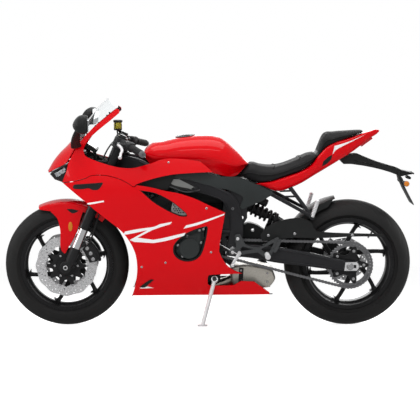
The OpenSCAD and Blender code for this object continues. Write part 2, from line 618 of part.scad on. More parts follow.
// Tail cowl: x, half width, underside, top
tail_sections = [[232, 118, 700, 710], [301, 124, 680, 721], [376, 124, 686, 750], [447, 120, 708, 772], [505, 112, 742, 808],
    [544, 104, 766, 856], [590, 96, 792, 898], [640, 86, 824, 912], [689, 74, 854, 926], [762, 46, 908, 952], [837, 10, 956, 970]];
function tail_top(x) = lookup(x, [for (s = tail_sections) [s[0], s[3]]]);
module tail_cowl() color([0.8, 0.02, 0.03]) difference() {
    skin([for (s = tail_sections) body_ring(at(s[0]), s[1], s[2], s[3], min(10, (s[3] - s[2]) * 0.3, s[1] * 0.3))]);
    both_sides() { subframe_rail(fit); hanger_struts(fit); tail_light_body(fit); }
    across(at(330), 702, -104, 104, 9, fit);
    across(at(600), 824, -72, 72, 8, fit);
    plate_hanger_root(fit);
}
// Seats lie on the cowl; each section is x, half width, top
rider_sections = [[160, 84, 762], [200, 104, 806], [232, 112, 806], [301, 122, 792], [376, 122, 806], [447, 116, 834],
    [505, 106, 856], [524, 100, 856]];
seat_underside = [[160, 744], [200, 728], [232, 714]];
function seat_low(x) = x < 232 ? lookup(x, seat_underside) + fit : tail_top(x) + fit;
module rider_seat() color([0.07, 0.07, 0.07])
    skin([for (s = rider_sections) body_ring(at(s[0]), s[1], seat_low(s[0]), s[2], min(14, (s[2] - seat_low(s[0])) * 0.4))]);
passenger_sections = [[529, 88, 868], [544, 92, 905], [560, 94, 950], [590, 92, 950], [640, 84, 958], [689, 72, 962], [757, 44, 966]];
module passenger_seat() color([0.07, 0.07, 0.07])
    skin([for (s = passenger_sections) body_ring(at(s[0]), s[1], tail_top(s[0]) + fit, s[2], min(12, (s[2] - tail_top(s[0])) * 0.35))]);
module tail_light_body(g = 0) rod([at(745), -22, 886], [at(800), -8, 930], 9, g);
module tail_light() color([0.5, 0.02, 0.02]) both_sides() tail_light_body();

hanger_path = [[at(640), 0, 812, 26, 56], [at(700), 0, 826, 34, 56], [at(760), 0, 812, 34, 54], [at(850), 0, 790, 26, 50],
    [at(925), 0, 770, 24, 46], [at(950), 0, 756, 20, 46]];
module plate_hanger_root(g = 0) beam([for (p = hanger_path) [p[0], p[1], p[2], p[3] + 2 * g, p[4] + 2 * g]]);
module plate_hanger() color([0.05, 0.05, 0.05]) difference() {
    union() {
        plate_hanger_root();
        beam([[at(930), 0, 770, 8, 90], [at(1008), 0, 754, 8, 90]]);
        beam([[at(938), 0, 766, 12, 150], [at(962), 0, 690, 12, 150], [at(1008), 0, 606, 8, 150]]);
    }
    both_sides() indicator_stem(fit);
    plate_holes();
}
plate_hole_gap = 110;
module plate_holes() for (s = [-1, 1]) rod([at(960), s * plate_hole_gap / 2, 640], [at(1010), s * plate_hole_gap / 2, 667], 3.25);
module indicator_stem(g = 0) across(at(962), 712, -84, -40, 6, g);
module rear_indicators() color([0.1, 0.1, 0.1]) both_sides() difference() {
    union() {
        indicator_stem();
        across(at(962), 712, -120, -82, 14);
    }
}

// ---- Nose, screen and panels ----
panel_outline = [[-672, 811], [-700, 719], [-589, 633], [-532, 586], [-469, 538], [-412, 490], [-374, 438], [-350, 390],
    [-343, 347], [-345, 261], [-355, 213], [-367, 163], [300, 168], [302, 178], [262, 208], [226, 236], [160, 240],
    [128, 219], [8, 217], [0, 226], [0, 266], [8, 275], [160, 279], [94, 321], [51, 393], [56, 427], [70, 522], [80, 587],
    [8, 620], [-64, 654], [-135, 678], [-207, 692], [-278, 711], [-345, 719], [-279, 743], [-183, 765], [-88, 774],
    [20, 779], [-40, 828], [-88, 835], [-183, 841], [-230, 836], [-278, 817], [-349, 798], [-445, 802], [-516, 822],
    [-587, 850], [-598, 880], [-570, 935], [-521, 976], [-425, 1052], [-425, 1067], [-439, 1074], [-555, 978],
    [-600, 930], [-640, 876]];
slot_outline = [[-312, 688], [-254, 679], [-183, 648], [-135, 611], [-104, 583], [-99, 569], [-135, 566], [-183, 592], [-254, 638]];
cover_outline = [[-169, 403], [-154, 436], [-102, 484], [-54, 508], [-6, 520], [-1, 508], [-16, 427], [-35, 374],
    [-59, 350], [-97, 341], [-135, 350], [-164, 374]];
module side_fairing() difference() {
    intersection() {
        fairing_wall(panel_t);
        plate(placed(panel_outline), -400, -1);
    }
    plate(placed(slot_outline), -400, -1);
    plate(placed(cover_outline), -400, -1);
    mirror_foot(fit);
    fairing_stays(fit);
}
module side_fairing_left() color([0.8, 0.02, 0.03]) side_fairing();
module side_fairing_right() color([0.8, 0.02, 0.03]) mirror([0, 1, 0]) side_fairing();

belly_w = 0.5;
module belly_pan() color([0.6, 0.02, 0.03]) skin([for (x = [-362, -340, -150, 50, 200, 290]) let (w = side(x, 172) - panel_t - 2 * fit)
    [[at(x), -w, 172], [at(x), w, 172], [at(x), w, 176], [at(x), -w, 176]]]);

// Nose shell between its centre line and the panels' upper edge
nose_centre = [[-780, 764], [-752, 812], [-722, 850], [-690, 882], [-662, 912]];
nose_edge = [[-774, 760], [-730, 784], [-684, 812], [-652, 866], [-612, 924]];
function nose_curve(i, v, s) = let (c = nose_centre[i], e = nose_edge[i], w = side(e.x, e.y) - s * 1.2)
    [at(c.x + (e.x - c.x) * v * v) + s * 0.8, w * v, c.y + (e.y - c.y) * v * v - s * 0.6];
function shell_ring(i, s0, s1) = concat([for (v = [1 : -0.25 : -1]) nose_curve(i, v, s0)],
    [for (v = [-1 : 0.25 : 1]) nose_curve(i, v, s1)]);
module nose_fairing() color([0.8, 0.02, 0.03]) difference() {
    skin([for (i = [0 : 4]) shell_ring(i, panel_t + fit + 1, 2 * panel_t + 1)], true);
    both_sides() { mirror_foot(fit); stay_arm(fit); }
}

screen_low = [[-655, 916], [-598, 930]];
screen_high = [[-482, 1125], [-439, 1078]];
function screen_curve(t, v, s) = let (c = screen_low[0] + t * (screen_high[0] - screen_low[0]) + [-12, 8] * sin(180 * t),
    e = screen_low[1] + t * (screen_high[1] - screen_low[1]), w = side(e.x, e.y) - panel_t - fit - 1 - s * 1.1)
    [at(c.x + (e.x - c.x) * v * v) + s * 0.75, w * v, c.y + (e.y - c.y) * v * v - s * 0.5];
function screen_ring(t) = concat([for (v = [1 : -0.25 : -1]) screen_curve(t, v, 0)],
    [for (v = [-1 : 0.25 : 1]) screen_curve(t, v, screen_t)]);
module windscreen() color([0.9, 0.95, 0.98, 0.4]) skin([for (t = [0 : 0.125 : 1]) screen_ring(t)], true);

// Lamp unit under the nose: each section across the machine is brow, rear top, rear foot, chin, lens
lamp_inner = [[-768, 752], [-672, 772], [-672, 712], [-706, 710], [-744, 724]];
lamp_mid = [[-722, 774], [-668, 786], [-668, 718], [-690, 716], [-712, 744]];
lamp_outer = [[-686, 796], [-666, 798], [-666, 736], [-672, 738], [-682, 768]];
function lamp_ring(y, section) = [for (p = section) [at(p.x), y, p.y]];
function lamp_y(v) = v * fairing_half_width / 235;
module lamp_peg(g = 0) rod([at(-640), -50, 798], [at(-678), -50, 764], 6, g);
module headlights() color([0.7, 0.75, 0.8]) difference() {
    skin([lamp_ring(lamp_y(-110), lamp_outer), lamp_ring(lamp_y(-84), lamp_mid), lamp_ring(lamp_y(-38), lamp_inner),
        lamp_ring(lamp_y(38), lamp_inner), lamp_ring(lamp_y(84), lamp_mid), lamp_ring(lamp_y(110), lamp_outer)]);
    both_sides() lamp_peg(fit);
}
// Ledge from the fairing's upper edge inwards, past the sweep of the fork
ledge = [[-575, 834], [-516, 812], [-445, 792], [-349, 788], [-278, 806], [-238, 824]];
ledge_y = 150;
module cockpit_trim() color([0.05, 0.05, 0.05]) both_sides() skin([for (p = ledge)
    let (x = at(p.x), o = -side(p.x, p.y) + panel_t + 4 * fit, i = -min(ledge_y, side(p.x, p.y) - 14))
    [[x, o, p.y], [x, i, p.y - 8], [x, i, p.y - 5], [x, o, p.y + 3]]]);
stay_height = 806;
stay_root = head_point((stay_height - steer_foot.z) / cos(rake)) - [(stem_r + head_wall + 3) / cos(rake), 0, 0];
module stay_bolts(g = 0) rod(stay_root - [32, 0, 0], stay_root + [10, 0, 0], 8, g);
module front_stay() color([0.05, 0.05, 0.05]) {
    stay_bolts();
    rod([at(-640), 0, 800], stay_root - [12, 0, 0], 10);
    across(at(-640), 800, -60, 60, 9);
    dash_post();
    both_sides() {
        stay_arm();
        mirror_foot();
        lamp_peg();
    }
}
module stay_arm(g = 0) rod([at(-560), 0, 804], [at(-640), -100, 880], 8, g);
module dash_post(g = 0) rod([at(-585), 0, 802], [at(-580), 0, 888], 8, g);
mirror_base = [-628, 896];
module mirror_foot(g = 0) rod([at(-640), -96, 878], [at(mirror_base.x), -side(mirror_base.x, mirror_base.y) - 8, mirror_base.y + 4], 9, g);
mirror_head = [at(-596), -322, 1012];
module mirrors() color([0.05, 0.05, 0.05]) both_sides() difference() {
    union() {
        rod([at(mirror_base.x), -side(mirror_base.x, mirror_base.y) - 9, mirror_base.y + 4], mirror_head, 11);
        translate(mirror_head) rotate([0, 0, -12]) translate([-24, -62, -42]) cube([34, 118, 84]);
    }
    mirror_foot(fit);
}
dash_w = fairing_half_width * 0.723;
module dashboard() color([0.02, 0.02, 0.02]) difference() {
    translate([at(-578), 0, 888]) rotate([0, 32, 0]) cube([95, dash_w, 20], center = true);
    both_sides() stay_arm(fit);
    dash_post(fit);
}

module cover_pins(g = 0) rod([at(0), -125, 730], [at(0), -spar_y, 690], 7, g);
module side_covers() color([0.09, 0.1, 0.1]) both_sides() difference() {
    union() {
        plate(placed([[-200, 745], [-135, 762], [-39, 762], [67, 742], [120, 738], [160, 738], [228, 706], [302, 674], [317, 664],
            [259, 632], [201, 608], [163, 594], [153, 608], [166, 650], [96, 690], [19, 700], [-63, 730]]), -140, -128);
        cover_pins();
    }
    both_sides() { spar(fit); hanger_struts(fit); subframe_rail(fit); subframe_end(fit); }
    tank_tubes(fit);
}

// ---- Swingarm, shock and chain ----
arm_path = [[pivot.x - 4, -arm_y, pivot.z - 8, 60, arm_t], [at(220), -arm_y, 384, 66, arm_t], [at(340), -arm_y, 366, 76, arm_t],
    [at(480), -arm_y, 346, 70, arm_t], [at(600), -arm_y, 324, 56, arm_t], [rear_axle.x + 36, -arm_y, rear_axle.z, 50, arm_t]];
stand_hole = [rear_axle.x - 62, rear_axle.z + 2];
stand_hole_r = 3.4;
stand_hole_depth = 22;
shock_low = [at(378), 0, 502];
shock_high = [at(140), 0, 560];
module shock_low_eye() across(shock_low.x, shock_low.z, -34, 34, 9);
module shock_top_eye() rod(shock_high, [at(158), 0, 610], 12);
module swingarm() color([0.05, 0.05, 0.05]) difference() {
    union() {
        both_sides() beam(arm_path);
        across(pivot.x, pivot.z, -arm_y, arm_y, pivot_tube_r);
        translate([at(236), -arm_y, 346]) cube([at(330) - at(236), 2 * arm_y, 56]);
        both_sides() beam([[at(300), -28, 380, 60, 12], [at(345), -28, 440, 50, 12], [shock_low.x, -28, shock_low.z, 40, 12]]);
        shock_low_eye();
        across(rear_axle.x, rear_axle.z, -arm_y - arm_t / 2 - 6, arm_y + arm_t / 2 + 6, rear_axle_r);
    }
    across(pivot.x, pivot.z, -arm_y - arm_t, arm_y + arm_t, pivot_bolt_r + running);
    both_sides() across(stand_hole.x, stand_hole.y, -arm_y - arm_t / 2 - 1, -arm_y - arm_t / 2 + stand_hole_depth, stand_hole_r);
    caliper_foot_pin(fit);
    hugger_pins(fit);
}
module shock_absorber() color([0.04, 0.04, 0.04]) difference() {
    union() {
        d = shock_low - [at(158), 0, 610];
        top = [at(158), 0, 610];
        rod(top + d * 0.08, top + d * 0.8, 34);
        rod(top, shock_low, 16);
        across(shock_low.x, shock_low.z, -20, 20, 18);
    }
    across(shock_low.x, shock_low.z, -34, 34, 9, fit);
    rod(shock_high, [at(158), 0, 610], 12, fit);
}
module chain_outline(g) offset(delta = 0) hull() {
    translate([drive.x, drive.z]) circle(pitch_r(drive_teeth) + g, $fn = 48);
    translate([rear_axle.x, rear_axle.z]) circle(pitch_r(sprocket_teeth) + g, $fn = 96);
}
module chain() color([0.5, 0.48, 0.45]) translate([0, -chain_y + chain_w / 2, 0]) rotate([90, 0, 0])
    linear_extrude(height = chain_w) difference() {
        chain_outline(chain_h / 2);
        chain_outline(-chain_h / 2);
    }
hugger_in = rear_tyre_r + wheel_gap + 2;
hugger_w = rear_tyre_w / 2 - 4;
function hub_polar(r, a, y) = rear_axle + [r * cos(a), y, r * sin(a)];
function hugger_ring(a) = [hub_polar(hugger_in + 4, a, -hugger_w), hub_polar(hugger_in + 12, a, 0),
    hub_polar(hugger_in + 4, a, hugger_w), hub_polar(hugger_in, a, hugger_w), hub_polar(hugger_in, a, -hugger_w)];
module hugger_pins(g = 0) {
    rod([at(300), -arm_y, 380], [at(300), -arm_y, 440], 7, g);
    rod([at(300), arm_y, 380], [at(300), arm_y, 440], 7, g);
}
module rear_hugger() color([0.06, 0.06, 0.06]) {
    skin([for (a = [102 : 8 : 158]) hugger_ring(a)]);
    hugger_pins();
    plate(placed([[262, 434], [250, 470], [330, 492], [400, 486], [560, 474], [850, 468], [858, 458], [700, 454], [560, 442], [300, 436]]),
        -arm_y - 6, -arm_y + 2);
    both_sides() plate(placed([[282, 434], [300, 500], [350, 520], [392, 500], [380, 440]]), -arm_y, -arm_y + 5);
    for (a = [146, 152]) rod(hub_polar(hugger_in + 2, a, -hugger_w + 6), [hub_polar(hugger_in, a, 0).x, -arm_y + 2, hub_polar(hugger_in, a, 0).z], 5);
    for (a = [146, 152]) rod(hub_polar(hugger_in + 2, a, hugger_w - 6), [hub_polar(hugger_in, a, 0).x, arm_y - 2, hub_polar(hugger_in, a, 0).z], 5);
}

rear_caliper_out = arm_in - rear_disc_y - 2;
caliper_stay = rear_axle + [-86, arm_y - 12, 60];
module caliper_foot_pin(g = 0) rod(rear_axle + [-86, arm_y, 22], caliper_stay, 9, g);
module rear_caliper() color([0.08, 0.08, 0.08]) union() {
    translate(rear_axle + [0, rear_disc_y, 0]) rotate([0, -140, 0]) mirror([0, 1, 0])
        difference() {
            translate([rear_disc_r - 42, -rear_caliper_out, -34]) cube([56, rear_caliper_out + 24, 68]);
            translate([0, -disc_t / 2 - side_gap, -60]) cube([rear_disc_r + 6, disc_t + 2 * side_gap, 120]);
        }
    caliper_foot_pin();
    translate(caliper_stay) sphere(r = 11);
    rod(caliper_stay, rear_axle + [-106, rear_disc_y + 6, 61], 6);
}

// ---- Footrests ----
rest_y = plate_y + plate_t / 2 + 5;
module footrest_bolts(g = 0) for (p = [[at(142), 452], [at(118), 386]]) across(p.x, p.y, -rest_y - 4, -plate_y, 6, g);
peg_point = [at(284), 376];
module rider_footrests() color([0.1, 0.1, 0.1]) both_sides() difference() {
    union() {
        footrest_bolts();
        plate(placed([[128, 466], [154, 470], [192, 420], [250, 408], [330, 458], [344, 446], [306, 372], [276, 358],
            [240, 384], [150, 372], [108, 372], [104, 396], [132, 408]]), -rest_y - 8, -rest_y);
        across(peg_point.x, peg_point.y, -rest_y - 92, -rest_y - 4, 11);
    }
    lever_pin(fit);
}
module foot_levers() color([0.4, 0.4, 0.4]) both_sides() {
    lever_pin();
    rod([at(150), -rest_y - 20, 385], [at(118), -rest_y - 24, 330], 7);
    across(at(118), 330, -rest_y - 60, -rest_y - 20, 8);
}
module lever_pin(g = 0) across(at(150), 385, -rest_y - 28, -rest_y - 3, 7, g);
hang_foot = [at(502), 556];
module hanger_struts(g = 0) {
    rod([at(306), -100, 700], [hang_foot.x, -146, hang_foot.y], 8, g);
    rod([at(384), -95, 716], [hang_foot.x, -146, hang_foot.y], 8, g);
}
module passenger_footrests() color([0.1, 0.1, 0.1]) both_sides() {
    hanger_struts();
    across(hang_foot.x, hang_foot.y, -160, -132, 13);
    rod([hang_foot.x, -152, hang_foot.y], [at(528), -166, 640], 9);
}

park() frame();
park() subframe();
park() engine();
park() engine_covers();
park() radiator();
park() exhaust_headers();
park() muffler();
park() fuel_tank();
park() fuel_cap();
park() rider_seat();
park() passenger_seat();
park() tail_cowl();
park() tail_light();
park() plate_hanger();
park() rear_indicators();
park() nose_fairing();
park() windscreen();
park() headlights();
park() front_stay();
park() side_fairing_left();
park() side_fairing_right();
park() belly_pan();
park() mirrors();
park() dashboard();
park() cockpit_trim();
park() side_covers();
park() swingarm();
park() shock_absorber();
park() chain();
park() rear_hugger();
park() rider_footrests();
park() foot_levers();
park() passenger_footrests();
park() rear_caliper();
park() triple_clamps();
park() fork_legs();
park() handlebars();
park() hand_levers();
park() fluid_reservoir();
park() brake_hoses();
park() front_fender();
park() front_calipers();
park() front_tyre();
park() front_wheel();
park() front_discs();
park() rear_tyre();
park() rear_wheel();
park() rear_sprocket();
park() rear_disc();
park() side_stand();
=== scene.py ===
import math

import bpy
import numpy as np
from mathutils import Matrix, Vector
from mathutils.geometry import delaunay_2d_cdt


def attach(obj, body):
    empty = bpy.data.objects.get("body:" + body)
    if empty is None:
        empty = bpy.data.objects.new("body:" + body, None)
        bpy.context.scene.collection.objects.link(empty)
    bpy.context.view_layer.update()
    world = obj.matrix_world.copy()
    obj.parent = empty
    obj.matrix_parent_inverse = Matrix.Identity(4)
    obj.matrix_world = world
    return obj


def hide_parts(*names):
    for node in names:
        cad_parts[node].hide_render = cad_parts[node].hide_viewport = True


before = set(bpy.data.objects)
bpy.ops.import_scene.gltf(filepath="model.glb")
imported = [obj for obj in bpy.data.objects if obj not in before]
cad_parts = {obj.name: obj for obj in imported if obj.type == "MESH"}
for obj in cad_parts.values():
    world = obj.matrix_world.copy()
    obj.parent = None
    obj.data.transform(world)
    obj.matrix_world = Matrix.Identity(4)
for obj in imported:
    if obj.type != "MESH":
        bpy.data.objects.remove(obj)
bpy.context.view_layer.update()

# ---- The parked machine, camera and studio ----
# A faired sport motorcycle leaning nine degrees on its side stand. Every point below is written in
# the upright machine's own millimetres, x to the rear, y to the right, z up, and then parked.
LEAN = math.radians(9)
PARK_SHIFT, TYRE_CROWN = 156.0, 80.0


def parked(points):
    """Upright millimetres to parked metres: a turn by the lean about x, the shift to the right, and
    the lift of the tyre's crown, which is its radius times one minus the cosine of the lean."""
    p = np.asarray(points, float)
    c, s = math.cos(LEAN), math.sin(LEAN)
    y = PARK_SHIFT + p[..., 1] * c - p[..., 2] * s
    z = TYRE_CROWN * (1 - c) + p[..., 1] * s + p[..., 2] * c
    return np.stack([p[..., 0], y, z], -1) / 1000


camera = bpy.data.objects.new("studio_camera", bpy.data.cameras.new("studio_camera"))
bpy.context.scene.collection.objects.link(camera)
camera.data.lens = 123.0
eye, aim = Vector(parked([-122, -7000, 1450])), Vector(parked([12, 0, 570]))
camera.location = eye
camera.rotation_euler = (aim - eye).to_track_quat("-Z", "Y").to_euler()
bpy.context.scene.camera = camera
bpy.context.scene.view_settings.view_transform = "Standard"

world = bpy.data.worlds.new("studio_air")
bpy.context.scene.world = world
world.use_nodes = True
air, air_links = world.node_tree.nodes, world.node_tree.links
air.clear()
sky_light = air.new("ShaderNodeBackground")
sky_light.inputs["Color"].default_value = (1, 1, 1, 1)
path_kind = air.new("ShaderNodeLightPath")
sky_amount = None
# Strength 1 where the camera sees it, straight or through the screen; 0.32 as light, 0.62 in reflections
SKY_BASE = 0.32
for output, share in (("Is Camera Ray", 0.68), ("Is Transmission Ray", 0.68), ("Is Glossy Ray", 0.3)):
    step = air.new("ShaderNodeMath")
    step.operation = "MULTIPLY_ADD"
    air_links.new(path_kind.outputs[output], step.inputs[0])
    step.inputs[1].default_value = share
    step.inputs[2].default_value = SKY_BASE
    if sky_amount is not None:
        air_links.new(sky_amount.outputs[0], step.inputs[2])
    sky_amount = step
air_links.new(sky_amount.outputs[0], sky_light.inputs["Strength"])
air_out = air.new("ShaderNodeOutputWorld")
air_links.new(sky_light.outputs[0], air_out.inputs[0])

floor_mesh = bpy.data.meshes.new("studio_floor")
floor_mesh.from_pydata([(-40, -40, 0), (40, -40, 0), (40, 40, 0), (-40, 40, 0)], [], [(0, 1, 2, 3)])
floor = bpy.data.objects.new("studio_floor", floor_mesh)
bpy.context.scene.collection.objects.link(floor)
floor_paint = bpy.data.materials.new("studio_floor")
floor_paint.use_nodes = True
floor_nodes, floor_links = floor_paint.node_tree.nodes, floor_paint.node_tree.links
floor_bsdf = floor_nodes["Principled BSDF"]
floor_bsdf.inputs["Base Color"].default_value = (0.82, 0.82, 0.82, 1)
floor_bsdf.inputs["Roughness"].default_value = 0.9
floor_bsdf.inputs["Specular IOR Level"].default_value = 0.1
floor_glow = floor_nodes.new("ShaderNodeEmission")
floor_glow.inputs["Strength"].default_value = 0.7
floor_dark = floor_nodes.new("ShaderNodeEmission")
floor_dark.inputs["Strength"].default_value = 0.0
floor_path = floor_nodes.new("ShaderNodeLightPath")
floor_seen = floor_nodes.new("ShaderNodeMixShader")
floor_add = floor_nodes.new("ShaderNodeAddShader")
floor_mirrored = floor_nodes.new("ShaderNodeEmission")
floor_mirrored.inputs["Strength"].default_value = 0.42
floor_choice = floor_nodes.new("ShaderNodeMixShader")
floor_links.new(floor_path.outputs["Is Camera Ray"], floor_seen.inputs[0])
floor_links.new(floor_dark.outputs[0], floor_seen.inputs[1])
floor_links.new(floor_glow.outputs[0], floor_seen.inputs[2])
floor_links.new(floor_bsdf.outputs[0], floor_add.inputs[0])
floor_links.new(floor_seen.outputs[0], floor_add.inputs[1])
floor_links.new(floor_path.outputs["Is Glossy Ray"], floor_choice.inputs[0])
floor_links.new(floor_add.outputs[0], floor_choice.inputs[1])
floor_links.new(floor_mirrored.outputs[0], floor_choice.inputs[2])
floor_links.new(floor_choice.outputs[0], floor_nodes["Material Output"].inputs["Surface"])
floor_mesh.materials.append(floor_paint)


def softbox(name, place, target, size, power):
    """A rectangular area lamp of size (width, height) in metres at place, turned to target."""
    lamp = bpy.data.objects.new(name, bpy.data.lights.new(name, "AREA"))
    bpy.context.scene.collection.objects.link(lamp)
    lamp.data.shape, lamp.data.size, lamp.data.size_y = "RECTANGLE", size[0], size[1]
    lamp.data.energy = power
    lamp.location = place
    turn = Vector(target) - Vector(place)
    lamp.rotation_euler = turn.to_track_quat("-Z", "Y").to_euler()
    return lamp


softbox("lamp_top", (0.0, -0.4, 3.6), (0, 0, 0.5), (4.5, 2.6), 95)
side_lamp = softbox("lamp_left", (-1.2, -4.6, 2.6), (0, 0, 0.5), (3.6, 2.4), 120)
side_lamp.visible_glossy = False
softbox("lamp_edge", (0.4, -5.2, 4.2), (0, 0, 0.7), (5.0, 0.5), 30)
softbox("lamp_right", (1.0, 4.6, 2.6), (0, 0, 0.5), (3.6, 2.4), 75)
softbox("lamp_front", (-4.6, -0.6, 1.8), (0, 0, 0.5), (2.4, 1.8), 38)
softbox("lamp_rear", (4.6, 0.6, 1.8), (0, 0, 0.5), (2.4, 1.8), 38)

# ---- Tyres ----
# Radial rubber tyres on seventeen inch rims: round crowns with shallow slanted rain grooves, plain
# side walls and a thick bead. Each is a closed profile turned round the axle.
STEPS = 216


def grid_quads(rows, cols, wrap_rows=False, wrap_cols=False):
    """Quads of a rows by cols lattice of points numbered row by row; a wrapped side joins up."""
    i = np.arange(rows if wrap_rows else rows - 1)[:, None]
    j = np.arange(cols if wrap_cols else cols - 1)[None, :]
    i2, j2 = (i + 1) % rows, (j + 1) % cols
    quads = np.stack([i * cols + j, i2 * cols + j, i2 * cols + j2, i * cols + j2], -1)
    return quads.reshape(-1, 4)


def faced_out(points, faces):
    """The faces turned so that the closed shape's volume, a sum of triple products, is positive."""
    fans = [f[[0, k, k + 1]] for f in map(np.asarray, faces) for k in range(1, len(f) - 1)]
    a, b, c = (points[np.array(fans)[:, k]] for k in range(3))
    if np.einsum("ij,ij->i", a, np.cross(b, c)).sum() < 0:
        return [list(f)[::-1] for f in faces]
    return [list(f) for f in faces]


def wrapped(lattice):
    """A lattice of points (rows, columns, 3) joined up in both directions: a ring."""
    rows, cols = lattice.shape[:2]
    points = lattice.reshape(-1, 3)
    return points, faced_out(points, grid_quads(rows, cols, True, True))


def capped(lattice):
    """A lattice whose columns join up and whose first and last rows close to their middles."""
    rows, cols = lattice.shape[:2]
    points = np.concatenate([lattice.reshape(-1, 3), lattice[0].mean(0)[None], lattice[-1].mean(0)[None]])
    j = np.arange(cols)
    k = (j + 1) % cols
    first = np.stack([np.full(cols, rows * cols), j, k], -1)
    last = np.stack([np.full(cols, rows * cols + 1), (rows - 1) * cols + k, (rows - 1) * cols + j], -1)
    faces = list(grid_quads(rows, cols, False, True)) + list(first) + list(last)
    return points, faced_out(points, faces)


def joined(*shapes):
    """Several shapes, each points and faces, as one."""
    points, faces, start = [], [], 0
    for p, f in shapes:
        points.append(p)
        faces += [[v + start for v in face] for face in f]
        start += len(p)
    return np.concatenate(points), faces


def mirrored(shape):
    """The shape on the machine's other side, its faces turned back out."""
    return shape[0] * [1, -1, 1], [list(f)[::-1] for f in shape[1]]


def both(shape):
    """The left shape and its mirror image on the right."""
    return joined(shape, mirrored(shape))


def turned(profile, centre, steps=STEPS, wobble=None):
    """A closed profile of (radius, y) turned round an axle through centre: x is r cos a, z r sin a."""
    profile = np.asarray(profile, float)
    a = np.arange(steps)[:, None] * 2 * math.pi / steps
    r = profile[None, :, 0] + (wobble(a, profile[None]) if wobble else 0 * a)
    y = np.broadcast_to(profile[None, :, 1], r.shape)
    return wrapped(np.stack([r * np.cos(a), y, r * np.sin(a)], -1) + np.asarray(centre, float))


def put(name, shape, body, paint, replaces=(), sharp=32, bevel=0.0, uv=None):
    """A finished piece: its mesh placed in metres, shaded smooth below the sharp angle, with its
    body, material slot and the nodes that it stands for; bevel is in millimetres."""
    mesh = bpy.data.meshes.new(name)
    mesh.from_pydata(parked(shape[0]).tolist(), [], [list(map(int, f)) for f in shape[1]])
    mesh.polygons.foreach_set("use_smooth", np.ones(len(mesh.polygons), bool))
    mesh.set_sharp_from_angle(angle=math.radians(sharp))
    mesh.materials.append(paint)
    if uv is not None:
        corner = np.zeros(len(mesh.loops), np.int64)
        mesh.loops.foreach_get("vertex_index", corner)
        mesh.uv_layers.new(name="lay").data.foreach_set("uv", np.asarray(uv, float)[corner].ravel())
    piece = bpy.data.objects.new(name, mesh)
    bpy.context.scene.collection.objects.link(piece)
    if bevel:
        edge = piece.modifiers.new("edge", "BEVEL")
        edge.width, edge.segments, edge.limit_method = bevel / 1000, 2, "ANGLE"
        edge.angle_limit = math.radians(40)
        edge.harden_normals = True
    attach(piece, body)
    if replaces:
        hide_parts(*replaces)
    return piece


def group_sockets(group, inputs, outputs):
    """Names the group's inputs, each with its first value, and its outputs."""
    for name, value in inputs:
        socket = group.interface.new_socket(name, in_out="INPUT", socket_type="NodeSocketFloat")
        socket.default_value = value
    for name, kind in outputs:
        group.interface.new_socket(name, in_out="OUTPUT", socket_type=kind)
    return group.nodes.new("NodeGroupInput"), group.nodes.new("NodeGroupOutput")


# Shared surface effect: fine grain with a slow drift of tone, both from Object coordinates
grain_group = bpy.data.node_groups.new("surface_grain", "ShaderNodeTree")
grain_in, grain_out = group_sockets(
    grain_group, [("Grain Size", 900.0), ("Drift Size", 6.0), ("Stretch", 1.0)],
    [("Grain", "NodeSocketFloat"), ("Drift", "NodeSocketFloat")])
grain_place = grain_group.nodes.new("ShaderNodeTexCoord")
grain_stretch = grain_group.nodes.new("ShaderNodeCombineXYZ")
grain_stretch.inputs["X"].default_value = 1
grain_stretch.inputs["Y"].default_value = 1
grain_scale = grain_group.nodes.new("ShaderNodeVectorMath")
grain_scale.operation = "MULTIPLY"
fine_noise = grain_group.nodes.new("ShaderNodeTexNoise")
fine_noise.inputs["Detail"].default_value = 3
slow_noise = grain_group.nodes.new("ShaderNodeTexNoise")
slow_noise.inputs["Detail"].default_value = 4
g_link = grain_group.links.new
g_link(grain_in.outputs["Stretch"], grain_stretch.inputs["Z"])
g_link(grain_place.outputs["Object"], grain_scale.inputs[0])
g_link(grain_stretch.outputs[0], grain_scale.inputs[1])
g_link(grain_scale.outputs[0], fine_noise.inputs["Vector"])
g_link(grain_in.outputs["Grain Size"], fine_noise.inputs["Scale"])
g_link(grain_place.outputs["Object"], slow_noise.inputs["Vector"])
g_link(grain_in.outputs["Drift Size"], slow_noise.inputs["Scale"])
g_link(fine_noise.outputs["Fac"], grain_out.inputs["Grain"])
g_link(slow_noise.outputs["Fac"], grain_out.inputs["Drift"])


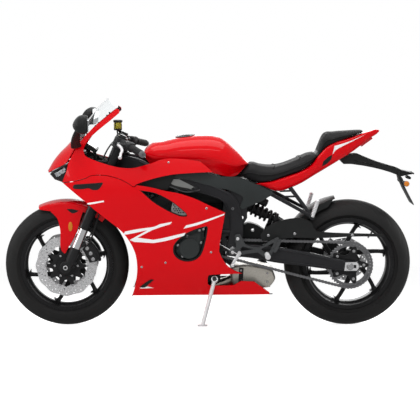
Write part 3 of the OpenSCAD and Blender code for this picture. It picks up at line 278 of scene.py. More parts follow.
def finish(name, colour, second, rough, rough_span=0.08, grain=900.0, bump=0.1, drift=6.0, stretch=1.0,
           depth=0.0004, **sockets):
    """A Principled finish: base colour drifts from colour to second, roughness spans rough_span
    about rough, and the grain lifts the surface by bump. Other sockets are set as given."""
    paint = bpy.data.materials.new(name)
    paint.use_nodes = True
    nodes, link = paint.node_tree.nodes, paint.node_tree.links.new
    shader = nodes["Principled BSDF"]
    effect = nodes.new("ShaderNodeGroup")
    effect.node_tree = grain_group
    effect.inputs["Grain Size"].default_value = grain
    effect.inputs["Drift Size"].default_value = drift
    effect.inputs["Stretch"].default_value = stretch
    tone = nodes.new("ShaderNodeMix")
    tone.data_type = "RGBA"
    tone.inputs["A"].default_value = (*colour, 1)
    tone.inputs["B"].default_value = (*second, 1)
    link(effect.outputs["Drift"], tone.inputs["Factor"])
    link(tone.outputs["Result"], shader.inputs["Base Color"])
    gloss = nodes.new("ShaderNodeMapRange")
    gloss.inputs["From Min"].default_value, gloss.inputs["From Max"].default_value = 0.3, 0.7
    gloss.inputs["To Min"].default_value = max(0.02, rough - rough_span / 2)
    gloss.inputs["To Max"].default_value = rough + rough_span / 2
    link(effect.outputs["Grain"], gloss.inputs["Value"])
    link(gloss.outputs["Result"], shader.inputs["Roughness"])
    lift = nodes.new("ShaderNodeBump")
    lift.inputs["Strength"].default_value = bump
    lift.inputs["Distance"].default_value = depth
    link(effect.outputs["Grain"], lift.inputs["Height"])
    link(lift.outputs["Normal"], shader.inputs["Normal"])
    shader.inputs["Specular IOR Level"].default_value = 0.22
    for socket, value in sockets.items():
        shader.inputs[socket.replace("_", " ")].default_value = value
    return paint


rubber = finish("tyre_rubber", (0.009, 0.009, 0.0095), (0.018, 0.0175, 0.017), 0.6, 0.14, 600, 0.25, 9.0)
HALF_BASE = 690.0
# Each tyre's outer radius, its width and its rim's width
FRONT_TYRE, REAR_TYRE = (303, 120, 89), (312, 160, 114)
FRONT_AXLE, REAR_AXLE = np.array([-HALF_BASE, 0, FRONT_TYRE[0]]), np.array([HALF_BASE, 0, REAR_TYRE[0]])
RIM_BEAD = 219.0
TYRE_WALL = 9


def tyre_profile(radius, width, rim_width):
    """Closed section of a tyre: an arc of half the width over the crown, walls that pull in to the
    bead, and the same path back a wall's thickness inside."""
    half, crown = width / 2, radius - width / 2
    bulge = np.radians(np.linspace(0, 112, 31))
    bulge = np.concatenate([-bulge[::-1], bulge[1:]])
    outer = np.stack([crown + half * np.cos(bulge), half * np.sin(bulge)], -1)
    bead = rim_width / 2
    foot = np.array([[RIM_BEAD + 16, bead + 7], [RIM_BEAD + 9.5, bead + 1.5], [RIM_BEAD, bead - 0.5],
                     [RIM_BEAD, bead - 9]])
    keep = outer[:, 0] > RIM_BEAD + 22
    outer = outer[keep]
    inside_half = half - TYRE_WALL
    inner = np.stack([crown + inside_half * np.cos(bulge[keep]), inside_half * np.sin(bulge[keep])], -1)
    inner[:, 0] = np.maximum(inner[:, 0], RIM_BEAD + 10)
    left = foot[::-1] * [1, -1]
    return np.concatenate([outer, foot, inner[::-1], left])


def tread(radius, width, slant, count):
    """Rain grooves: a notch where the angle round the tyre, sheared by slant times the place across,
    meets a whole step; deepest off the centre line and gone at the shoulder."""
    def lift(a, profile):
        """The groove's depth below the tread at each point."""
        r, y = profile[..., 0], profile[..., 1]
        across_tyre = np.abs(y) / (width / 2)
        phase = (a * count / (2 * math.pi) + slant * across_tyre ** 1.3 + 0.5 * (y > 0)) % 1.0
        notch = np.clip(1 - np.abs(phase - 0.5) / 0.085, 0, 1)
        zone = np.clip((across_tyre - 0.1) / 0.08, 0, 1) * np.clip((0.86 - across_tyre) / 0.06, 0, 1)
        on_tread = (r > radius - width * 0.36) & (r > radius - (width / 2 - TYRE_WALL))
        on_tread &= np.hypot(r - (radius - width / 2), y) > width / 2 - 3
        return -2.6 * np.sqrt(notch) * zone * on_tread
    return lift


put("front_tyre_rubber", turned(tyre_profile(*FRONT_TYRE), FRONT_AXLE, 360, tread(*FRONT_TYRE[:2], 1.7, 20)),
    "front_wheel", rubber, ["front_tyre"], sharp=38)
put("rear_tyre_rubber", turned(tyre_profile(*REAR_TYRE), REAR_AXLE, 360, tread(*REAR_TYRE[:2], 1.9, 18)),
    "rear_wheel", rubber, ["rear_tyre"], sharp=38)

# ---- Wheels ----
# Cast alloy wheels painted semi-gloss black: a drop-centre rim and six swirled spokes that leave the
# hub to one side of its centre. Each has a valve stem and a bearing hub.
wheel_black = finish("wheel_paint", (0.007, 0.007, 0.0075), (0.012, 0.012, 0.0125), 0.28, 0.08, 500, 0.06,
                     5.0)
steel_bright = finish("bright_steel", (0.62, 0.62, 0.63), (0.52, 0.52, 0.53), 0.26, 0.1, 1500, 0.05, 8.0,
                      Metallic=1.0)


def rounded_ring(count, power=2.6):
    """Closed cross-section: a superellipse, whose x and y are cos and sin to the power 2 / power."""
    a = np.arange(count) * 2 * math.pi / count
    c, s = np.cos(a), np.sin(a)
    return np.stack([np.sign(c) * np.abs(c) ** (2 / power), np.sign(s) * np.abs(s) ** (2 / power)], -1)


def through(points, count):
    """Even samples of the Catmull-Rom curve through the points: each span is the cubic whose end
    slopes are half the step between its neighbours."""
    p = np.asarray(points, float)
    p = np.concatenate([2 * p[:1] - p[1:2], p, 2 * p[-1:] - p[-2:-1]])
    t = np.linspace(0, len(p) - 3, count)
    k = np.minimum(t.astype(int), len(p) - 4)
    u = (t - k)[:, None]
    a, b, c, d = p[k], p[k + 1], p[k + 2], p[k + 3]
    return 0.5 * (2 * b + (c - a) * u + (2 * a - 5 * b + 4 * c - d) * u ** 2
                  + (3 * b - a - 3 * c + d) * u ** 3)


def swept(path, ring, widths, heights, side=(0, 1, 0)):
    """A ring carried along a path: its first axis lies along side made square to the path, its
    second across both; widths and heights scale the two axes at every point."""
    path = np.asarray(path, float)
    along = np.gradient(path, axis=0)
    along /= np.linalg.norm(along, axis=1)[:, None]
    side = np.broadcast_to(np.asarray(side, float), along.shape)
    first = side - (side * along).sum(1)[:, None] * along
    first /= np.linalg.norm(first, axis=1)[:, None]
    second = np.cross(along, first)
    w, h = np.broadcast_to(widths, len(path)), np.broadcast_to(heights, len(path))
    return capped(path[:, None] + first[:, None] * (ring[None, :, :1] * w[:, None, None])
                  + second[:, None] * (ring[None, :, 1:] * h[:, None, None]))


def piped(points, radius, samples=40, sides=14):
    """A round tube along the smooth curve through the points, closed at both ends."""
    path = through(points, samples)
    lie = np.abs(path[-1] - path[0])
    side = np.eye(3)[np.argmin(lie)]
    return swept(path, rounded_ring(sides, 2.0), radius, radius, side)


def lathed(foot, axis, profile, sides=48):
    """A round part turned about the line from foot along axis; profile is (distance, radius) from
    one end to the other, closed by a cap at each end."""
    axis = np.asarray(axis, float) / np.linalg.norm(axis)
    other = np.eye(3)[np.argmin(np.abs(axis))]
    u = np.cross(axis, other)
    u /= np.linalg.norm(u)
    v = np.cross(axis, u)
    a = np.arange(sides) * 2 * math.pi / sides
    d = np.cos(a)[:, None] * u + np.sin(a)[:, None] * v
    profile = np.asarray(profile, float)
    spine = np.asarray(foot, float) + profile[:, :1] * axis
    return capped(spine[:, None] + profile[:, 1:, None] * d[None])


def rounded_end(length, radius, chamfer, start=0.0):
    """Profile of a plain cylinder with rounded rims: quarter circles of the chamfer's radius."""
    q = np.linspace(0, math.pi / 2, 5)
    low = np.stack([start + chamfer * (1 - np.sin(q)), radius - chamfer * (1 - np.cos(q))], -1)[::-1]
    high = np.stack([start + length - chamfer * (1 - np.sin(q)), radius - chamfer * (1 - np.cos(q))], -1)
    return np.concatenate([low, high])


def rim_section(half):
    """Closed section of a rim as (radius, y): flange, bead seat, drop centre, and a barrel whose
    inner face follows it 6 mm below; half is half the width between the flanges."""
    outer = [[207, -half - 6], [224, -half - 7], [227, -half - 5.5], [227, -half - 2], [220, -half],
             [217.5, -half + 4], [217, -half + 18], [200, -half + 27], [199, -half + 32]]
    inner = [[193, half - 33], [195, half - 28], [203, half - 14], [204, half - 4]]
    outer, inner = np.array(outer), np.array(inner)
    return np.concatenate([outer, outer[::-1] * [1, -1], inner[::-1], inner * [1, -1]])


def wheel(centre, half, hub_left, hub_right, hub_radius, boss):
    """Rim, hub and six spokes. A spoke's middle line starts at the hub's edge, runs almost straight
    past the centre at a distance of about 50 mm and meets the rim, flaring there."""
    parts = [turned(rim_section(half), centre, 192)]
    line = np.array([[10, 46], [60, 50], [110, 53], [150, 54], [178, 52], [189, 48]])
    middle = through(line, 26)
    t = np.linspace(0, 1, 26)
    wide = 15 + 6 * (1 - t) ** 2 + 17 * np.clip((t - 0.72) / 0.28, 0, 1) ** 1.8 - 3.5 * np.sin(math.pi * t)
    deep = 17 - 6 * np.sin(math.pi * np.clip(t * 1.1, 0, 1)) + 8 * np.clip((t - 0.75) / 0.25, 0, 1) ** 2
    ring = rounded_ring(16, 3.2)
    for k in range(6):
        a = k * math.pi / 3
        path = np.stack([middle[:, 0] * math.cos(a) - middle[:, 1] * math.sin(a), 0 * t,
                         middle[:, 0] * math.sin(a) + middle[:, 1] * math.cos(a)], -1) + centre
        parts.append(swept(path, ring, deep, wide * 0.78, (0, 1, 0)))
    barrel = [[-36, 44], [-34, hub_radius - 3], [-30, hub_radius], [30, hub_radius], [34, hub_radius - 3],
              [36, 44]]
    parts.append(lathed(centre, (0, 1, 0), barrel, 72))
    parts.append(lathed(centre, (0, 1, 0),
                        [[-hub_left, boss - 12], [-hub_left, boss - 1], [-hub_left + 2, boss],
                         [hub_right - 2, boss], [hub_right, boss - 1], [hub_right, boss - 12]], 60))
    return joined(*parts)


put("front_wheel_casting", wheel(FRONT_AXLE, 44.8, 61.4, 61.4, 58, 34), "front_wheel",
    wheel_black, ["front_wheel"], sharp=40)
put("rear_wheel_casting", wheel(REAR_AXLE, 57.3, 90.6, 90.2, 62, 42), "rear_wheel",
    wheel_black, ["rear_wheel"], sharp=40)
for end, centre, body in (("front", FRONT_AXLE, "front_wheel"), ("rear", REAR_AXLE, "rear_wheel")):
    stem = [[0, 5], [8, 5], [10, 3], [30, 3], [31, 4], [38, 4], [40, 2.5]]
    put(end + "_valve_stem", lathed(centre + [194 * math.cos(0.9), -12, 194 * math.sin(0.9)],
        (-math.cos(0.9), -0.5, -math.sin(0.9)), stem, 16), body, steel_bright)

# ---- Brake discs ----
# Floating steel discs with waved edges and rows of drilled holes, riveted with bright buttons to
# black carriers; the rear one is smaller and solid-mounted. A toothed ring for the speed sensor.
disc_steel = finish("disc_steel", (0.74, 0.74, 0.75), (0.58, 0.58, 0.59), 0.3, 0.16, 300, 0.12, 14.0,
                    Metallic=0.65)
carrier_black = finish("carrier_black", (0.009, 0.009, 0.0095), (0.016, 0.016, 0.017), 0.4, 0.1, 1400,
                       0.15, 8.0)


def ring_points(radius, count, centre=(0.0, 0.0), turn=0.0):
    """Points of a circle; radius may be an array of one value a point."""
    a = turn + np.arange(count) * 2 * math.pi / count
    return np.stack([centre[0] + radius * np.cos(a), centre[1] + radius * np.sin(a)], -1)


def inside(points, loop):
    """Which points lie in the closed loop: the parity of its edges' crossings to their right."""
    x, y = points[:, None, 0], points[:, None, 1]
    a, b = loop[None], np.roll(loop, -1, 0)[None]
    span = (a[..., 1] > y) != (b[..., 1] > y)
    rise = np.where(b[..., 1] == a[..., 1], 1e-9, b[..., 1] - a[..., 1])
    return (span & (x < a[..., 0] + (y - a[..., 1]) / rise * (b[..., 0] - a[..., 0]))).sum(1) % 2 == 1


def cut_flat(outline, holes=(), pitch=0.0):
    """Triangles of a flat outline with holes: a constrained Delaunay net of the edges and, if a
    pitch is given, of a triangular lattice inside. Returns points and triangles."""
    loops = [np.asarray(outline, float)] + [np.asarray(h, float) for h in holes]
    edges, start = [], 0
    for loop in loops:
        k = np.arange(len(loop))
        edges += np.stack([start + k, start + (k + 1) % len(loop)], -1).tolist()
        start += len(loop)
    points = np.concatenate(loops)
    if pitch:
        low, high = loops[0].min(0), loops[0].max(0)
        gx, gy = np.meshgrid(np.arange(low[0], high[0], pitch), np.arange(low[1], high[1], pitch * 0.866))
        gx = gx + (np.arange(len(gx)) % 2)[:, None] * pitch / 2
        lattice = np.stack([gx.ravel(), gy.ravel()], -1)
        lattice = lattice[inside(lattice, loops[0])]
        rims = np.concatenate(loops)
        far = np.array([np.min(((rims - q) ** 2).sum(1)) for q in lattice]) > (pitch * 0.45) ** 2
        points = np.concatenate([points, lattice[far]])
    net = delaunay_2d_cdt([Vector(p) for p in points], edges, [], 0, 1e-4)
    flat = np.array([tuple(v) for v in net[0]])
    tris = np.array([t for t in net[2] if len(t) == 3])
    middle = flat[tris].mean(1)
    keep = inside(middle, loops[0])
    for hole in loops[1:]:
        keep &= ~inside(middle, hole)
    tris = tris[keep]
    a, b, c = (flat[tris[:, k]] for k in range(3))
    ccw = (b - a)[:, 0] * (c - a)[:, 1] - (b - a)[:, 1] * (c - a)[:, 0] > 0
    tris = np.where(ccw[:, None], tris, tris[:, ::-1])
    used = np.unique(tris)
    renumber = np.full(len(flat), -1)
    renumber[used] = np.arange(len(used))
    return flat[used], renumber[tris]


def walled(net, front, back):
    """A closed plate from a flat net: the points taken by front, the same taken by back, and a wall
    along every edge that only one triangle has."""
    flat, tris = net
    count = len(flat)
    directed = np.concatenate([tris[:, [0, 1]], tris[:, [1, 2]], tris[:, [2, 0]]])
    twin = set(map(tuple, directed[:, ::-1].tolist()))
    rim = np.array([e for e in directed.tolist() if tuple(e) not in twin])
    walls = np.stack([rim[:, 1], rim[:, 0], rim[:, 0] + count, rim[:, 1] + count], -1)
    points = np.concatenate([front(flat), back(flat)])
    return points, faced_out(points, list(tris) + list(tris[:, ::-1] + count) + list(walls))


def upright_plate(net, y_front, y_back):
    """A plate in the plane of x and z between two places across the machine."""
    def at(y):
        return lambda f: np.stack([f[:, 0], np.full(len(f), float(y)), f[:, 1]], -1)
    return walled(net, at(y_front), at(y_back))


def on_axle(shape, centre):
    """A shape made about the origin, moved to an axle's middle."""
    return shape[0] + np.asarray(centre, float), shape[1]


def bolt_circle(axle, radius, y, count, axis, profile, sides):
    """Equal round parts at equal steps on a circle about an axle: x is r cos a, z r sin a."""
    steps = [k * math.pi / (count / 2) for k in range(count)]
    places = [axle + [radius * math.cos(a), y, radius * math.sin(a)] for a in steps]
    return [lathed(place, axis, profile, sides) for place in places]


def disc_net(radius, band, waves, depth, rows):
    """Ring whose two edges wave as cosines of the angle, with slanted rows of drilled holes."""
    a = np.arange(360) * 2 * math.pi / 360
    outer = ring_points(radius - depth / 2 + depth / 2 * np.cos(waves * a), 360)
    inner = ring_points(radius - band + depth / 2 * np.cos(waves * a + 0.6), 360)
    holes = [inner]
    for k in range(waves * 2):
        for j, share in enumerate(rows):
            turn = (k + 0.32 * j) * math.pi / waves
            place = (radius - depth - band * share) * np.array([math.cos(turn), math.sin(turn)])
            holes.append(ring_points(3.1, 10, place))
    return cut_flat(outer, holes)


def carrier_net(radius, hub, arms, bore):
    """Star of arms from hub to radius, each arm's two sides pulled in by half a sine."""
    a = np.arange(240) * 2 * math.pi / 240
    wave = (0.5 + 0.5 * np.cos(arms * a)) ** 2.2
    return cut_flat(ring_points(hub + (radius - hub) * wave, 240), [ring_points(bore, 40)])


FRONT_DISC_R, FRONT_DISC_Y, FRONT_DISC_THICK = 150, 64, 4.8
front_ring = disc_net(FRONT_DISC_R, 50, 12, 5.0, (0.14, 0.36, 0.6, 0.84))
front_star = carrier_net(104, 70, 10, 50)
for side, name in ((-1, "left"), (1, "right")):
    y = side * FRONT_DISC_Y
    ring = upright_plate(front_ring, y - FRONT_DISC_THICK / 2, y + FRONT_DISC_THICK / 2)
    put(f"front_disc_{name}", on_axle(ring, FRONT_AXLE), "front_wheel", disc_steel,
        ["front_discs"], bevel=0.4)
    star = [on_axle(upright_plate(front_star, y - 2 - side, y + 2 - side), FRONT_AXLE),
            lathed(FRONT_AXLE + [0, side * 30, 0], (0, side, 0),
                   [[0, 50], [0, 58], [31.5, 60], [31.5, 49]], 60)]
    put(f"front_disc_carrier_{name}", joined(*star), "front_wheel", carrier_black, bevel=0.5)
    buttons = bolt_circle(FRONT_AXLE, 101, y - 4, 10, (0, 1, 0), [[0, 4], [0.6, 5.6], [7.4, 5.6], [8, 4]], 14)
    bolts = bolt_circle(FRONT_AXLE, 56, y - side * 3, 6, (0, side, 0),
                        [[0, 5.5], [7, 5.5], [7.8, 4.6], [7.8, 2.6], [5.4, 2.4]], 12)
    put(f"front_disc_buttons_{name}", joined(*buttons, *bolts), "front_wheel", steel_bright)
teeth = ring_points(46 + 2 * np.sign(np.sin(np.arange(192) * math.pi / 2 + 0.4)), 192)
tone_ring = cut_flat(teeth, [ring_points(38, 64)]
                     + [ring_points(1.6, 6, (42 * math.cos(k * 0.1309), 42 * math.sin(k * 0.1309)))
                        for k in range(48)])
put("front_sensor_ring", on_axle(upright_plate(tone_ring, -58.5, -57), FRONT_AXLE), "front_wheel",
    steel_bright)

rear_ring = disc_net(110, 34, 9, 4.0, (0.2, 0.5, 0.8))
rear_star = carrier_net(80, 40, 6, 24)
put("rear_disc_ring", on_axle(upright_plate(rear_ring, 90.6, 95.4), REAR_AXLE), "rear_wheel",
    disc_steel, ["rear_disc"], bevel=0.4)
put("rear_disc_carrier", on_axle(upright_plate(rear_star, 90.4, 94.4), REAR_AXLE), "rear_wheel",
    carrier_black)
rear_bolts = bolt_circle(REAR_AXLE, 70, 94, 6, (0, 1, 0), [[0, 6], [3.4, 6], [4, 5], [4, 3], [2, 2.6]], 14)
put("rear_disc_bolts", joined(*rear_bolts), "rear_wheel", steel_bright)

# ---- Sprocket and chain ----
# A steel ring with 44 teeth on a black carrier, and a roller chain of 15.875 mm pitch: side plates
# waisted between their two pins, over rollers. The chain lies along two straight runs and two arcs.
CHAIN_Y, CHAIN_PITCH = 94.0, 15.875
DRIVE_TEETH, REAR_TEETH = 14, 44
DRIVE_AXLE = np.array([25.0, 0, 403])


def pitch_radius(count):
    """Radius of a sprocket's pins: half the pitch over the sine of half a tooth's angle."""
    return CHAIN_PITCH / (2 * math.sin(math.pi / count))


def toothed(count, steps):
    """Outline of a sprocket: a cosine wave a tooth high, narrowed at its tips by its power."""
    a = np.arange(count * steps) * 2 * math.pi / (count * steps)
    wave = (0.5 + 0.5 * np.cos(count * a)) ** 1.3
    return ring_points(pitch_radius(count) - 8.2 + 7.2 * wave, count * steps)


drive_steel = finish("drive_steel", (0.27, 0.27, 0.28), (0.17, 0.17, 0.175), 0.36, 0.16, 800, 0.15, 12.0,
                     Metallic=0.9)
put("rear_sprocket_teeth", on_axle(upright_plate(cut_flat(toothed(REAR_TEETH, 8), [ring_points(90, 90)]),
    -96.6, -91.4), REAR_AXLE), "rear_wheel", drive_steel, ["rear_sprocket"], bevel=0.4)
put("rear_sprocket_carrier", joined(on_axle(upright_plate(carrier_net(96, 52, 5, 24), -98, -92), REAR_AXLE),
    lathed(REAR_AXLE + [0, -99, 0], (0, 1, 0), [[0, 26], [0, 40], [2, 46], [12, 50], [12, 26]], 60)),
    "rear_wheel", carrier_black, bevel=0.6)
rear_nuts = bolt_circle(REAR_AXLE, 72, -98, 5, (0, -1, 0),
                        [[0, 8], [1, 8], [1.2, 6.6], [6, 6.6], [6.6, 5.6], [6.6, 0.5]], 6)
put("rear_sprocket_nuts", joined(*rear_nuts), "rear_wheel", steel_bright)


def chain_line():
    """Points a pitch apart round both sprockets: two arcs joined by their outer tangents."""
    small, large = pitch_radius(DRIVE_TEETH), pitch_radius(REAR_TEETH)
    a, b = DRIVE_AXLE[[0, 2]], REAR_AXLE[[0, 2]]
    span = np.linalg.norm(b - a)
    lean = math.atan2(b[1] - a[1], b[0] - a[0])
    open_angle = math.acos((small - large) / span)
    up, down = lean + open_angle, lean - open_angle
    front = np.linspace(up, down + 2 * math.pi, 60)
    rear = np.linspace(down, up, 120)
    loop = np.concatenate([np.stack([a[0] + small * np.cos(front), a[1] + small * np.sin(front)], -1),
                           np.stack([b[0] + large * np.cos(rear), b[1] + large * np.sin(rear)], -1)])
    loop = np.concatenate([loop, loop[:1]])
    run = np.concatenate([[0], np.cumsum(np.linalg.norm(np.diff(loop, axis=0), axis=1))])
    count = 2 * round(run[-1] / CHAIN_PITCH / 2)
    at = np.linspace(0, run[-1], count + 1)
    return np.stack([np.interp(at, run, loop[:, 0]), np.interp(at, run, loop[:, 1])], -1)


pins = chain_line()
links = []
for k, (p, q) in enumerate(zip(pins[:-1], pins[1:])):
    turn = math.atan2(*(q - p)[::-1])
    c, s = math.cos(turn), math.sin(turn)
    half = np.linalg.norm(q - p) / 2
    round_end = np.linspace(-math.pi * 0.62, math.pi * 0.62, 7)
    right = np.stack([half + 6.8 * np.cos(round_end), 6.8 * np.sin(round_end)], -1)
    outline = np.concatenate([right, [[0, 4.4]], -right, [[0, -4.4]]])
    outline = outline @ np.array([[c, s], [-s, c]]) + (p + q) / 2
    for low, high in (((-8.2, -6.6), (6.6, 8.2)) if k % 2 else ((-6.2, -4.6), (4.6, 6.2))):
        rows = np.stack([np.stack([outline[:, 0], np.full(len(outline), -CHAIN_Y + y), outline[:, 1]], -1)
                         for y in (low, high)])
        links.append(capped(rows))
    links.append(lathed([p[0], -CHAIN_Y - 8.4, p[1]], (0, 1, 0),
                        [[0, 1.6], [0.4, 2.4], [3.9, 2.4], [3.9, 4.7], [12.9, 4.7], [12.9, 2.4],
                         [16.4, 2.4], [16.8, 1.6]], 8))
put("drive_chain", joined(*links), "chassis", drive_steel, ["chain"], sharp=30)

# ---- Fork, yokes and front axle ----
# Upside-down fork: thick black outer tubes clamped at the top, bright sliders below, and forged lugs
# that hold the hollow axle. The two yokes keep their forged plates and gain bolts and a stem nut.
RAKE = math.radians(23)
FORK_OFFSET, AXLE_OFFSET = 30, 40
UP_AXIS = np.array([math.sin(RAKE), 0, math.cos(RAKE)])
AHEAD = np.array([-math.cos(RAKE), 0, math.sin(RAKE)])
STEER_FOOT = FRONT_AXLE - AXLE_OFFSET * AHEAD
FORK_Y = 104.5


def leg_at(s, side=-1):
    """Point on a fork leg's middle line, s up the steering axis."""
    return STEER_FOOT + s * UP_AXIS + FORK_OFFSET * AHEAD + [0, side * FORK_Y, 0]


fork_black = finish("fork_tube_black", (0.008, 0.008, 0.0085), (0.013, 0.013, 0.014), 0.26, 0.08, 700,
                    0.05, 6.0)
chrome = finish("hard_chrome", (0.9, 0.9, 0.91), (0.8, 0.8, 0.82), 0.12, 0.06, 900, 0.02, 4.0, Metallic=1.0)
cast_black = finish("cast_black", (0.01, 0.01, 0.0105), (0.018, 0.018, 0.019), 0.44, 0.12, 1100, 0.3, 9.0)
alloy = finish("satin_alloy", (0.8, 0.8, 0.81), (0.66, 0.66, 0.67), 0.34, 0.14, 1000, 0.12, 10.0,
               Metallic=0.6)
outer_tube = [[206, 21], [207, 25], [210, 27], [236, 27], [238, 26], [330, 25.6], [420, 26], [428, 27],
              [690, 27], [693.5, 25.5], [694, 22], [696, 18], [701, 17], [702, 14], [702, 3]]
for side, name in ((-1, "left"), (1, "right")):
    put(f"fork_tube_{name}", lathed(leg_at(0, side), UP_AXIS, outer_tube, 56), "steering",
        fork_black, ["fork_legs"])
    put(f"fork_slider_{name}",
        lathed(leg_at(0, side), UP_AXIS, [[88, 20.4], [206, 20.4], [212, 20.4]], 56), "steering",
        chrome)
    foot = lathed(leg_at(0, side), UP_AXIS,
                  [[-2, 12], [4, 20], [40, 24], [84, 25], [98, 24.5], [104, 23], [106, 20.6]], 40)
    eye_ring = lathed(FRONT_AXLE + [0, side * (FORK_Y - 22), 0], (0, side, 0),
                      [[0, 12], [0, 25], [3, 28], [40, 28], [43, 26], [44, 18]], 44)
    pinch = [lathed(leg_at(s, side) - 24 * AHEAD + [0, -14, 0], (0, 1, 0),
                    [[0, 5], [1, 6.5], [27, 6.5], [28, 5]], 16) for s in (14, 34)]
    put(f"fork_foot_{name}", joined(foot, eye_ring, *pinch), "steering", cast_black, bevel=0.6)
    axle_end = FRONT_AXLE + [0, side * (FORK_Y + 26), 0]
    put(f"front_axle_end_{name}", lathed(axle_end - [0, side * 8, 0], (0, side, 0),
        [[0, 11], [6.6, 11], [8, 10], [8, 7.2], [3, 7.0], [2.5, 2]], 32), "steering", alloy)
put("front_axle_bar", lathed(FRONT_AXLE - [0, 110, 0], (0, 1, 0), [[0, 11], [220, 11]], 32), "steering",
    alloy)


def painted(node, paint):
    """Gives a CAD node that is shown as it is one finish."""
    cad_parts[node].data.materials.clear()
    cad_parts[node].data.materials.append(paint)


painted("triple_clamps", cast_black)
yoke_bolts = [lathed(STEER_FOOT + 652 * UP_AXIS, UP_AXIS, [[0, 17], [6, 17], [8, 15], [8, 9]], 6)]
for side in (-1, 1):
    for s, reach in ((453, 36), (643, 36)):
        yoke_bolts.append(lathed(leg_at(s, side) + reach * AHEAD * 0.9 + [0, -16 * side, 0], (0, side, 0),
                                 [[0, 4], [1, 6], [6, 6], [7, 4], [32, 3.6]], 12))
put("yoke_bolts", joined(*yoke_bolts), "steering", steel_bright)

# ---- Front calipers ----
# Radial four-piston calipers, forged in two halves joined by a bridge over the disc, bolted to ears
# behind the fork feet; black with bright bolts and pad pins.
CALIPER_ANGLE = math.radians(28)
CALIPER_R, CALIPER_LONG = 158, 104


def caliper(centre, y_disc, side, radius, angle, length, slot):
    """Two pad housings and a bridge: superellipse sections carried along the disc's edge."""
    t = np.linspace(-0.5, 0.5, 15)
    span = length / radius
    a = angle + t * span
    ring = rounded_ring(20, 3.4)
    swell = 1 - 0.32 * np.abs(2 * t) ** 4 + 0.07 * np.cos(4 * math.pi * t)
    parts = []
    for near, thick in ((-1, 15.0), (1, 11.0)):
        y = y_disc + side * (-near) * (slot / 2 + thick / 2)
        r = radius - 22
        path = np.stack([r * np.cos(a), np.full_like(a, y), r * np.sin(a)], -1) + centre
        parts.append(swept(path, ring, thick / 2 * np.ones(15), 26 * swell, (0, 1, 0)))
    r = radius + 8
    path = np.stack([r * np.cos(a), np.full_like(a, y_disc + side * 2), r * np.sin(a)], -1) + centre
    parts.append(swept(path, ring, (slot / 2 + 13) * np.ones(15), 8 * swell, (0, 1, 0)))
    return joined(*parts)


for side, name in ((-1, "left"), (1, "right")):
    ear_at = FRONT_AXLE + [(142 * math.cos(CALIPER_ANGLE) - 55 * math.sin(CALIPER_ANGLE)), side * 98.5,
                           142 * math.sin(CALIPER_ANGLE) + 55 * math.cos(CALIPER_ANGLE)]
    ear = swept(through([leg_at(98, side), (leg_at(98, side) + ear_at) / 2 + [0, 0, 4], ear_at], 12),
                rounded_ring(14, 3), 9, 11)
    put(f"front_caliper_{name}",
        joined(caliper(FRONT_AXLE, side * FRONT_DISC_Y, side, CALIPER_R, CALIPER_ANGLE, CALIPER_LONG, 15),
               ear), "steering", cast_black, ["front_calipers"], bevel=0.5)
    studs = []
    for k in (-0.34, 0.0, 0.34):
        a = CALIPER_ANGLE + k * CALIPER_LONG / CALIPER_R
        place = FRONT_AXLE + [136 * math.cos(a), side * (FRONT_DISC_Y + 22.3), 136 * math.sin(a)]
        studs.append(lathed(place, (0, side, 0), [[0, 9], [1.2, 9], [2, 7.6], [2, 4], [0.8, 3.6]], 20))
    studs.append(lathed(ear_at - 6 * UP_AXIS, UP_AXIS, [[0, 8.4], [14, 8.4], [15, 7], [15, 3]], 12))
    put(f"front_caliper_studs_{name}", joined(*studs), "steering", steel_bright)

# ---- Brake hoses ----
# Two black hoses run up behind the fork legs to a junction between them, and one goes on to the
# master cylinder.
hose_rubber = finish("hose_rubber", (0.014, 0.014, 0.014), (0.022, 0.022, 0.022), 0.5, 0.1, 1600, 0.2, 12.0)
hose_low = [[-585, -88, 405], [-566, -100, 440], [-550, -98, 490], [-524, -92, 570], [-508, -86, 620],
            [-516, -75, 645], [-526, -62, 666], [-538, -34, 678], [-544, 0, 680]]
hose_high = [[-544, 0, 680], [-556, 30, 690], [-548, 52, 730], [-526, 62, 790], [-504, 76, 842],
             [-488, 98, 870], [-470, 128, 892], [-448, 154, 904], [-430, 170, 908]]
hose = piped(hose_low, 3.9, 60, 12)
junction = lathed([-544, -12, 680], (0, 1, 0), [[0, 4], [1, 7], [5, 8.4], [19, 8.4], [23, 7], [24, 4]], 20)
put("brake_hose_pipes", joined(both(hose), piped(hose_high, 3.9, 70, 12), junction), "steering",
    hose_rubber, ["brake_hoses"])

# ---- Side fairings ----
# Moulded panels in gloss red over both flanks: an upper one from the lamps along the cockpit to the
# tank, and a main one down to the belly, with an air slot and a window for the clutch cover.
red_gloss = finish("fairing_red", (0.62, 0.0, 0.004), (0.56, 0.0, 0.003), 0.2, 0.03, 260, 0.015, 2.2,
                   Coat_Weight=0.3, Coat_Roughness=0.04, Specular_IOR_Level=0.08)
white_film = finish("stripe_white", (0.84, 0.84, 0.84), (0.78, 0.78, 0.79), 0.3, 0.05, 500, 0.02, 5.0)
moulded_black = finish("moulded_black", (0.009, 0.0095, 0.0095), (0.016, 0.017, 0.017), 0.46, 0.14, 1500,
                       0.4, 8.0)
mesh_grey = finish("mesh_grey", (0.24, 0.245, 0.24), (0.16, 0.165, 0.16), 0.45, 0.1, 900, 0.1, 12.0)
PANEL_THICK = 3.5


